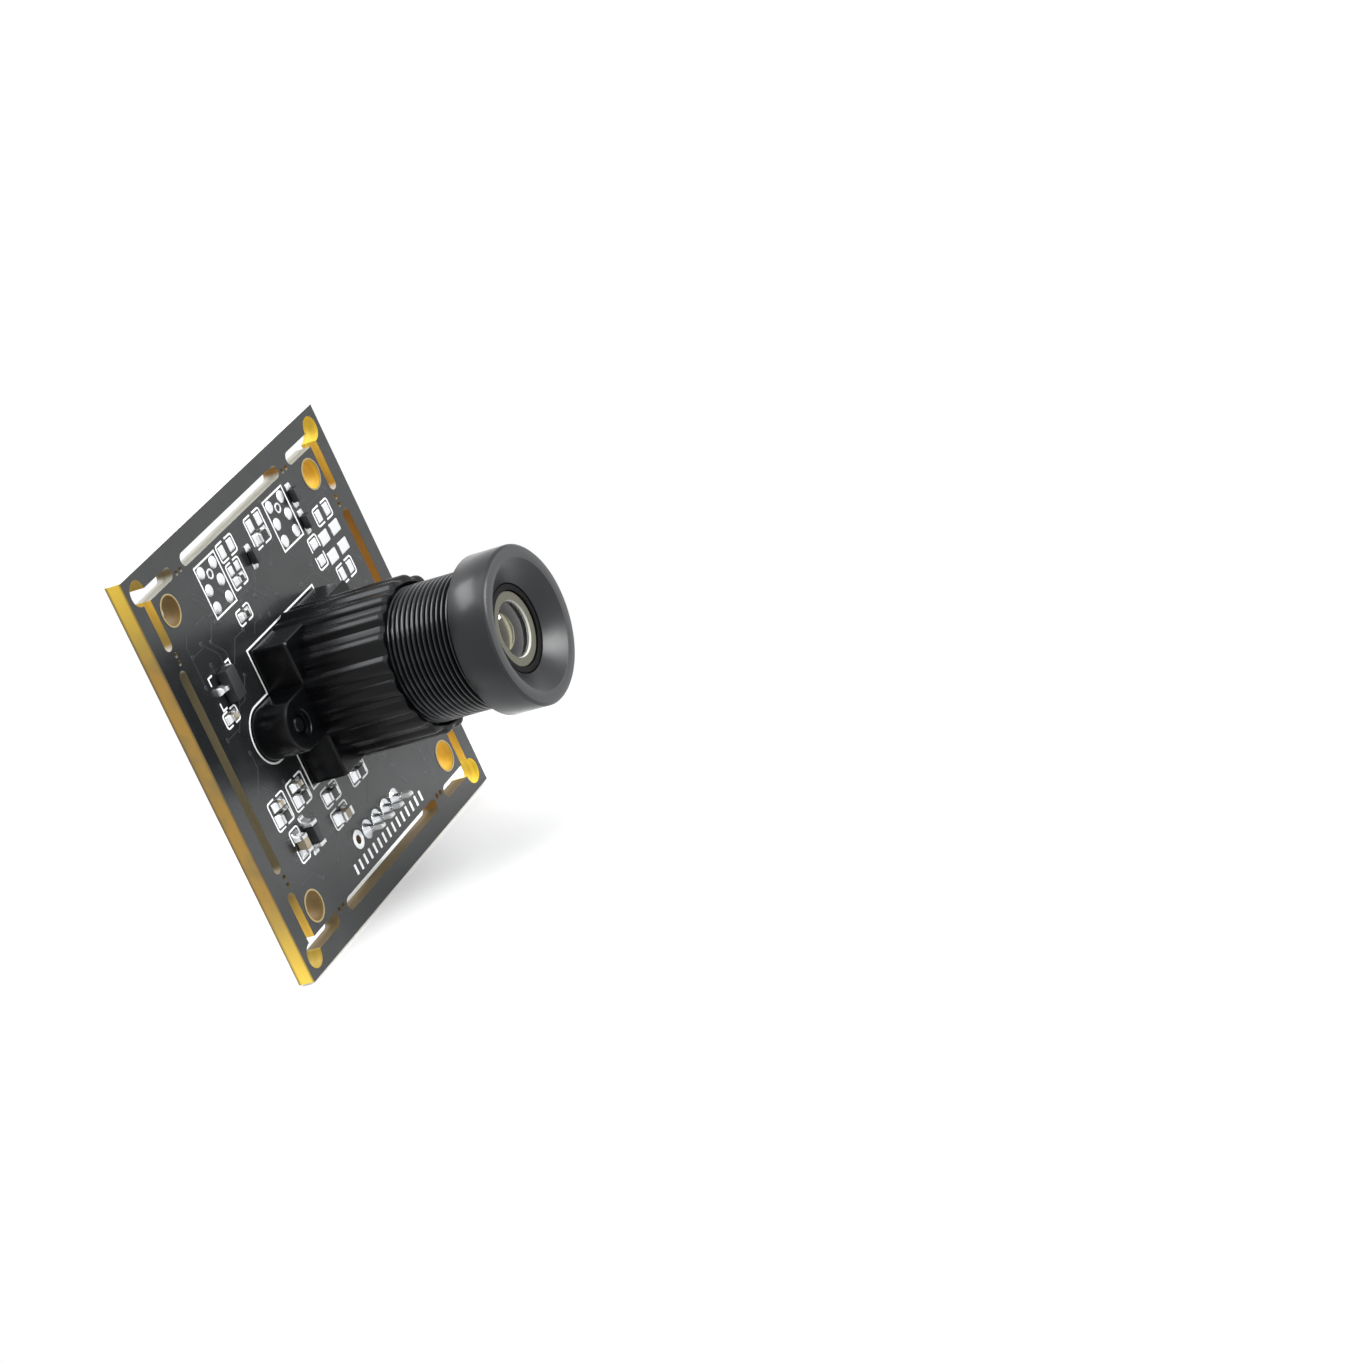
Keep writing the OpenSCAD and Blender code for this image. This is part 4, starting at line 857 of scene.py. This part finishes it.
bore = 6.06
tube = [fluted_ring(0.4), fluted_ring(3.0), fluted_ring(HOLDER_H - 0.45), fluted_ring(HOLDER_H - 0.28, 0.03),
        fluted_ring(HOLDER_H - 0.13, 0.1), fluted_ring(HOLDER_H - 0.03, 0.2), fluted_ring(HOLDER_H, 0.32),
        fluted_ring(HOLDER_H, bore=bore + 0.28), fluted_ring(HOLDER_H - 0.04, bore=bore + 0.2),
        fluted_ring(HOLDER_H - 0.3, bore=bore), fluted_ring(2.3, bore=bore), fluted_ring(2.3, bore=6.45),
        fluted_ring(0.4, bore=6.45)]
base = [base_ring(0), base_ring(EAR_H - 0.3), base_ring(EAR_H - 0.12, BASE_W - 0.08), base_ring(EAR_H, BASE_W - 0.34),
        base_ring(EAR_H, circle=bore), base_ring(WEB_TOP, circle=bore), base_ring(WEB_TOP, circle=3.6),
        base_ring(CAVITY_H, circle=3.6), base_ring(CAVITY_H, CAVITY_W), base_ring(0, CAVITY_W)]
parts = [skin(tube, True), skin(base, True)]
for side_sign in (-1, 1):
    ear = [ear_ring(side_sign, 0), ear_ring(side_sign, EAR_H - 0.35), ear_ring(side_sign, EAR_H - 0.14, 0.05),
           ear_ring(side_sign, EAR_H - 0.03, 0.16), ear_ring(side_sign, EAR_H, 0.32)]
    ear += [ear_ring(side_sign, h, circle=r) for r, h in
            ((1.32, EAR_H), (1.24, EAR_H - 0.05), (1.2, EAR_H - 0.3), (0.87, EAR_H - 0.34), (0.87, 0))]
    parts.append(skin(ear, True))
piece("lens_holder_moulding", parts, M["holder_plastic"], replaces=("lens_holder",), sharp=28)


def screw(centre):
    """Pan head with a cross recess as a square grid drawn into a disc, and a plain threaded shank.

    The recess sinks where one grid coordinate is under the arm's half width and the other under its
    length, deepest in the middle.
    """
    r, arm, wing = 1.55, 0.2, 0.85
    half = np.array([0, 0.1, arm, arm * 1.35, 0.42, 0.62, wing, wing * 1.08, 1.08, 1.25, 1.4, 1.5, r])
    line = np.concatenate([-half[:0:-1], half])
    u, v = np.meshgrid(line, line, indexing="ij")
    m = np.maximum(np.abs(u), np.abs(v))
    crown = 1.15 - 0.4 * (m / r) ** 2.2 - 0.3 * np.clip((m / r - 0.86) / 0.14, 0, 1) ** 2
    low_side = np.minimum(np.abs(u), np.abs(v))
    inside = (low_side <= arm) & (m <= wing)
    h = np.where(inside, 1.15 - 0.62 * (1 - 0.55 * m / wing), crown)
    length = np.hypot(u, v)
    pull = np.where(length > 0, m / np.where(length > 0, length, 1), 1)
    points = np.stack([centre[0] + u * pull, centre[1] + v * pull, h], -1).reshape(-1, 3)
    top = (points, grid_faces(len(line), len(line)))
    side_wall = revolve([(r, 0.45), (r, 0.04), (1.5, 0.0), (0.85, 0.0), (0.85, -4.6), (0.6, -4.9), (0, -4.9)], centre, 96)
    count = len(side_wall[0])
    keep = (side_wall[1] < count - 2).all(1)
    return [top, (side_wall[0], side_wall[1][keep])]


parts = []
for low, high, _ in solids("holder_screws", "rear"):
    parts += screw((low + high)[:2] / 2)
piece("holder_screw_heads", parts, M["black_screws"], replaces=("holder_screws",), side="rear")


# ---------- lens ----------

def barrel():
    """Barrel as one closed skin of rings.

    In the thread the radius is R - depth clip((t - 0.3) / 0.6, 0, 1), with t = |2 f - 1| and f the
    fraction of height / pitch - angle / full turn, which is a right-hand thread of the real pitch.
    """
    steps = 192
    a = np.arange(steps) * 2 * PI / steps
    pitch, outer, depth = 0.5, 6.0, 0.3
    low, high, _ = solids("lens_barrel", "front")[0]
    rear, front = low[2], high[2]
    head = front - 3.75
    hidden = np.arange(rear + 0.3, 10.6, pitch / 6)
    seen = np.arange(10.6, head - 0.42, pitch / 15)
    h = np.concatenate([hidden, seen])[:, None]
    f = (h / pitch - a / (2 * PI)) % 1
    t = np.abs(2 * f - 1)
    r = outer - depth * np.clip((t - 0.3) / 0.6, 0, 1)
    r = outer - depth + (r - outer + depth) * np.clip((head - 0.42 - h) / 0.25, 0, 1)
    thread = np.stack([r * np.cos(a), r * np.sin(a), h + 0 * a], -1)
    hd = 7.0
    after = [(5.68, head - 0.4), (5.68, head - 0.02), (5.72, head), (hd - 0.16, head), (hd - 0.05, head + 0.04),
             (hd, head + 0.15), (hd, front - 0.24), (hd - 0.02, front - 0.2), (hd - 0.2, front - 0.02),
             (hd - 0.24, front), (5.79, front), (5.765, front - 0.01), (4.0, front - 1.33),
             (3.92, front - 1.4), (3.9, front - 1.5), (3.9, rear + 1.6), (3.1, rear + 1.6), (3.1, rear),
             (5.5, rear), (5.7, rear + 0.2)]
    after = np.array(after)
    rest = np.stack([after[:, :1] * np.cos(a), after[:, :1] * np.sin(a), after[:, 1:] + 0 * a], -1)
    return skin(np.concatenate([thread, rest]), True)


piece("lens_barrel_turned", [barrel()], M["anodised_barrel"], "barrel", ("lens_barrel",), 30)

low, high, _ = solids("front_retaining_ring", "front")[0]
outer_r = high[0]
inner_r = outer_r - 0.55
profile = eased([(inner_r, low[2]), (outer_r, low[2]), (outer_r, high[2]), (inner_r, high[2])], 0.08, 3, closed=True)
piece("retaining_ring", [revolve(profile, steps=128, closed=True)], M["black_ring"], "optics",
      ("front_retaining_ring",))

low, high, _ = solids("front_lens_element", "front")[0]
edge_h = low[2] + 1.9
step_h = edge_h + 0.3
dome_r, dome_half, dome_sunk = 7.0, 2.42, 0.2
a = np.linspace(math.asin(dome_half / dome_r), 0, 28)
dome = np.stack([dome_r * np.sin(a), step_h - dome_sunk + dome_r * (np.cos(a) - math.cos(a[0]))], 1)
hollow_r, hollow_half = 4.4, 2.4
b = np.linspace(0, math.asin(hollow_half / hollow_r), 28)
hollow = np.stack([hollow_r * np.sin(b), low[2] + hollow_r * (np.cos(b) - math.cos(b[-1]))], 1)
profile = np.concatenate([hollow, [(3.8, low[2]), (3.87, low[2] + 0.07), (3.87, edge_h), (3.29, edge_h),
                                   (3.29, step_h - 0.06), (3.23, step_h), (2.5, step_h)], dome])
piece("front_lens", [revolve(profile, steps=160)], M["lens_glass"], "optics",
      ("front_lens_element",), 30)


# ---------- connector ----------

softened("connector_shell", "connector_housing", M["connector_nylon"], 0.07, 3)

parts = []
for low, high, _ in solids("connector_pins", "rear"):
    centre = (low + high)[:2] / 2
    w = (high - low)[0]
    rings = [ring_at(rounded_rect(k * w, k * w, 0.04), h, centre) for k, h in
             ((0.45, low[2]), (0.55, low[2] + 0.02), (1.0, low[2] + 0.3), (1.0, high[2] - 0.45), (0.5, high[2] - 0.02),
              (0.4, high[2]))]
    parts.append(skin(rings))
piece("pins", parts, M["tinned_leads"], replaces=("connector_pins",), side="rear")

parts = []
for low, high, _ in solids("connector_solder", "front"):
    foot, tall = (high - low)[0] / 2, high[2]
    k = np.linspace(0, 1, 14)
    r = 0.3 + (foot - 0.3) * (1 - k) ** 2.4
    profile = [(0, 0)] + list(zip(r, tall * k)) + [(0.2, tall * 1.05), (0, tall * 1.06)]
    parts.append(revolve(profile, (low + high)[:2] / 2, 40))
piece("solder_cones", parts, M["solder"], replaces=("connector_solder",))


# ---------- traces and vias under the mask ----------

def strips(starts, ends, width, h):
    """Raised strips as flat prisms with sloping sides, one for each pair of ends.

    Each strip is a little higher than the one before it, so no two tops lie in one plane.
    """
    starts, ends = np.asarray(starts, float), np.asarray(ends, float)
    tops = h * (1 + 0.4 * np.arange(len(starts)) / len(starts))
    d = ends - starts
    d /= np.linalg.norm(d, axis=1, keepdims=True)
    n = np.stack([-d[:, 1], d[:, 0]], 1)
    rows = []
    for at, along in ((starts, -1), (ends, 1)):
        for lift, half in ((0, width / 2), (1, width / 2 - 0.6 * h)):
            for s in (-1, 1):
                flat = at + s * n * half + along * d * (width * 0.2)
                rows.append(np.concatenate([flat, (tops * lift)[:, None]], 1))
    points = np.stack(rows, 1)
    one = np.array([(0, 1, 3, 2), (4, 6, 7, 5), (0, 4, 5, 1), (2, 3, 7, 6), (0, 2, 6, 4), (1, 5, 7, 3)])
    faces = (one[None] + 8 * np.arange(len(points))[:, None, None]).reshape(-1, 4)
    return points.reshape(-1, 3), faces


def free_of(points, blocks, margin):
    """True where no block's plan comes within the margin of a point."""
    ok = np.ones(len(points), bool)
    for low, high in blocks:
        ok &= ~((points > low[:2] - margin) & (points < high[:2] + margin)).all(1)
    return ok


def traces(side, node, blocks, count, seed):
    """Seeded tracks: each leaves a pad or a free place, bends once by 45 degrees and ends in a via."""
    rng = np.random.default_rng(seed)
    edge = 15.6
    pad_boxes = [(low, high) for low, high, points in solids(node, side) if len(points) == 8]
    centres = np.array([(low + high)[:2] / 2 for low, high in pad_boxes])
    begin = np.concatenate([centres, rng.uniform(-edge, edge, (count, 2))])
    heading = rng.integers(0, 8, len(begin)) * PI / 4
    first = rng.uniform(0.8, 2.6, len(begin))[:, None]
    second = rng.uniform(0.8, 4.2, len(begin))[:, None]
    turn = heading + rng.choice([-PI / 4, PI / 4], len(begin))
    mid = begin + first * np.stack([np.cos(heading), np.sin(heading)], 1)
    end = mid + second * np.stack([np.cos(turn), np.sin(turn)], 1)
    ok = np.ones(len(begin), bool)
    for share in np.linspace(0, 1, 9):
        path = mid * (1 - share) + end * share
        ok &= free_of(path, blocks, 0.2) & (np.abs(path).max(1) < edge)
        path = begin * (1 - share) + mid * share
        ok &= np.abs(path).max(1) < edge
        ok &= free_of(path, blocks, 0.2) | (np.arange(len(begin)) < len(centres))
    ok &= free_of(end, pad_boxes, 0.45)
    begin, mid, end = begin[ok], mid[ok], end[ok]
    parts = [strips(begin, mid, 0.14, 0.006), strips(mid, end, 0.14, 0.0085)]
    ring = [(0, 0), (0.24, 0), (0.22, 0.013), (0.14, 0.015), (0.09, 0.006), (0, 0.005)]
    parts += [revolve(ring, at, 16) for at in end]
    piece(side + "_tracks", parts, M["trace"], side=side)


holes = [(np.array([i * 14.2 - 1.5, j * 14.2 - 1.5]), np.array([i * 14.2 + 1.5, j * 14.2 + 1.5]))
         for i in (-1, 1) for j in (-1, 1)]
holder_block = [(np.array([-6.9, -7.0]), np.array([6.9, 7.0])), (np.array([-11.9, -2.6]), np.array([11.9, 2.6]))]
screw_block = [(np.array([s * 9.2 - 1.6, -1.6]), np.array([s * 9.2 + 1.6, 1.6])) for s in (-1, 1)]
pins_block = [(np.array([-5.2, -14.4]), np.array([5.2, -12.2]))]
traces("front", "front_pads", holes + holder_block + pins_block, 150, 11)
traces("rear", "rear_pads", holes + screw_block + boxes_of(
    ["processor_body", "flash_memory_body", "connector_housing", "power_inductor_core"], "rear"), 40, 12)


# ---------- stage ----------

def world_light():
    """White backdrop for the camera, for mirror rays and through glass, and a soft sky for the rest."""
    world = bpy.data.worlds.new("backdrop")
    bpy.context.scene.world = world
    world.use_nodes = True
    tree = world.node_tree
    tree.nodes.clear()
    out = tree.nodes.new("ShaderNodeOutputWorld")
    white = tree.nodes.new("ShaderNodeBackground")
    white.inputs["Color"].default_value = (1, 1, 1, 1)
    white.inputs["Strength"].default_value = 1.0
    soft = tree.nodes.new("ShaderNodeBackground")
    soft.inputs["Strength"].default_value = 1.0
    coord = tree.nodes.new("ShaderNodeTexCoord")
    split = tree.nodes.new("ShaderNodeSeparateXYZ")
    tree.links.new(coord.outputs["Generated"], split.inputs["Vector"])
    ramp = tree.nodes.new("ShaderNodeValToRGB")
    ramp.color_ramp.elements[0].color = (0.46, 0.46, 0.46, 1)
    ramp.color_ramp.elements[1].color = (0.80, 0.81, 0.82, 1)
    place = tree.nodes.new("ShaderNodeMapRange")
    place.inputs["From Min"].default_value = -1.0
    tree.links.new(split.outputs["Z"], place.inputs["Value"])
    tree.links.new(place.outputs["Result"], ramp.inputs["Fac"])
    tree.links.new(ramp.outputs["Color"], soft.inputs["Color"])
    path = tree.nodes.new("ShaderNodeLightPath")
    see = tree.nodes.new("ShaderNodeMath")
    see.operation = "MAXIMUM"
    tree.links.new(path.outputs["Is Camera Ray"], see.inputs[0])
    tree.links.new(path.outputs["Is Glossy Ray"], see.inputs[1])
    also = tree.nodes.new("ShaderNodeMath")
    also.operation = "MAXIMUM"
    tree.links.new(see.outputs[0], also.inputs[0])
    tree.links.new(path.outputs["Is Transmission Ray"], also.inputs[1])
    mix = tree.nodes.new("ShaderNodeMixShader")
    tree.links.new(also.outputs[0], mix.inputs["Fac"])
    tree.links.new(soft.outputs["Background"], mix.inputs[1])
    tree.links.new(white.outputs["Background"], mix.inputs[2])
    tree.links.new(mix.outputs["Shader"], out.inputs["Surface"])


def area_light(name, place, target, size, power, colour=(1, 1, 1)):
    data = bpy.data.lights.new(name, "AREA")
    data.shape = "RECTANGLE"
    data.size, data.size_y = size
    data.energy = power
    data.color = colour
    obj = bpy.data.objects.new(name, data)
    bpy.context.scene.collection.objects.link(obj)
    obj.location = Vector(place)
    obj.rotation_euler = (Vector(target) - Vector(place)).to_track_quat("-Z", "Y").to_euler()
    return obj


def floor_material():
    """Matt white round the object that fades into the backdrop with the distance from the middle."""
    s = Shader("floor_white")
    x, y, z = s.axes()
    far = s.length(x, y)
    s.set(Base_Color=srgb(252, 252, 252), Roughness=0.9, Specular_IOR_Level=0.0,
          Alpha=s.ramp(far, 0.012, 0.046, 1.0, 0.0))
    return s.mat


world_light()
area_light("over", (-0.08, -0.12, 0.6), (0, -0.01, 0), (0.7, 0.7), 2.6)
area_light("high_behind", (-0.047, 0.285, 0.526), (0, 0, 0), (0.4, 0.2), 1.9, (0.95, 0.98, 1.0))
area_light("front", (0.069, -0.494, 0.23), (0, 0, 0), (0.2, 0.26), 2.4)
area_light("window", (0.33, -0.5, 0.08), (0, 0, 0), (0.05, 0.09), 0.35)

floor_mesh = bpy.data.meshes.new("floor")
floor_mesh.from_pydata([(-3, -3, 0), (3, -3, 0), (3, 3, 0), (-3, 3, 0)], [], [(0, 1, 2, 3)])
floor = bpy.data.objects.new("floor", floor_mesh)
floor.location = (0, 0, CAD_LOW.z - 0.0002)
bpy.context.scene.collection.objects.link(floor)
floor_mesh.materials.append(floor_material())
floor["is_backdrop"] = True

camera_data = bpy.data.cameras.new("camera")
camera_data.lens = 132.6
camera_data.sensor_width = 36
camera_data.clip_start = 0.01
camera = bpy.data.objects.new("camera", camera_data)
bpy.context.scene.collection.objects.link(camera)
right, down, ahead = (0.3472, -0.8493, -0.3978), (-0.4326, 0.2313, -0.8714), (0.832, 0.4746, -0.2871)
turn = Matrix((right, [-c for c in down], [-c for c in ahead])).transposed().to_4x4()
camera.matrix_world = Matrix.Translation(Vector((-347.5, -231.6, 111.5)) * MM) @ turn
scene = bpy.context.scene
scene.camera = camera
scene.view_settings.view_transform = "Standard"
scene.render.resolution_x = scene.render.resolution_y = 1024

low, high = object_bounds()
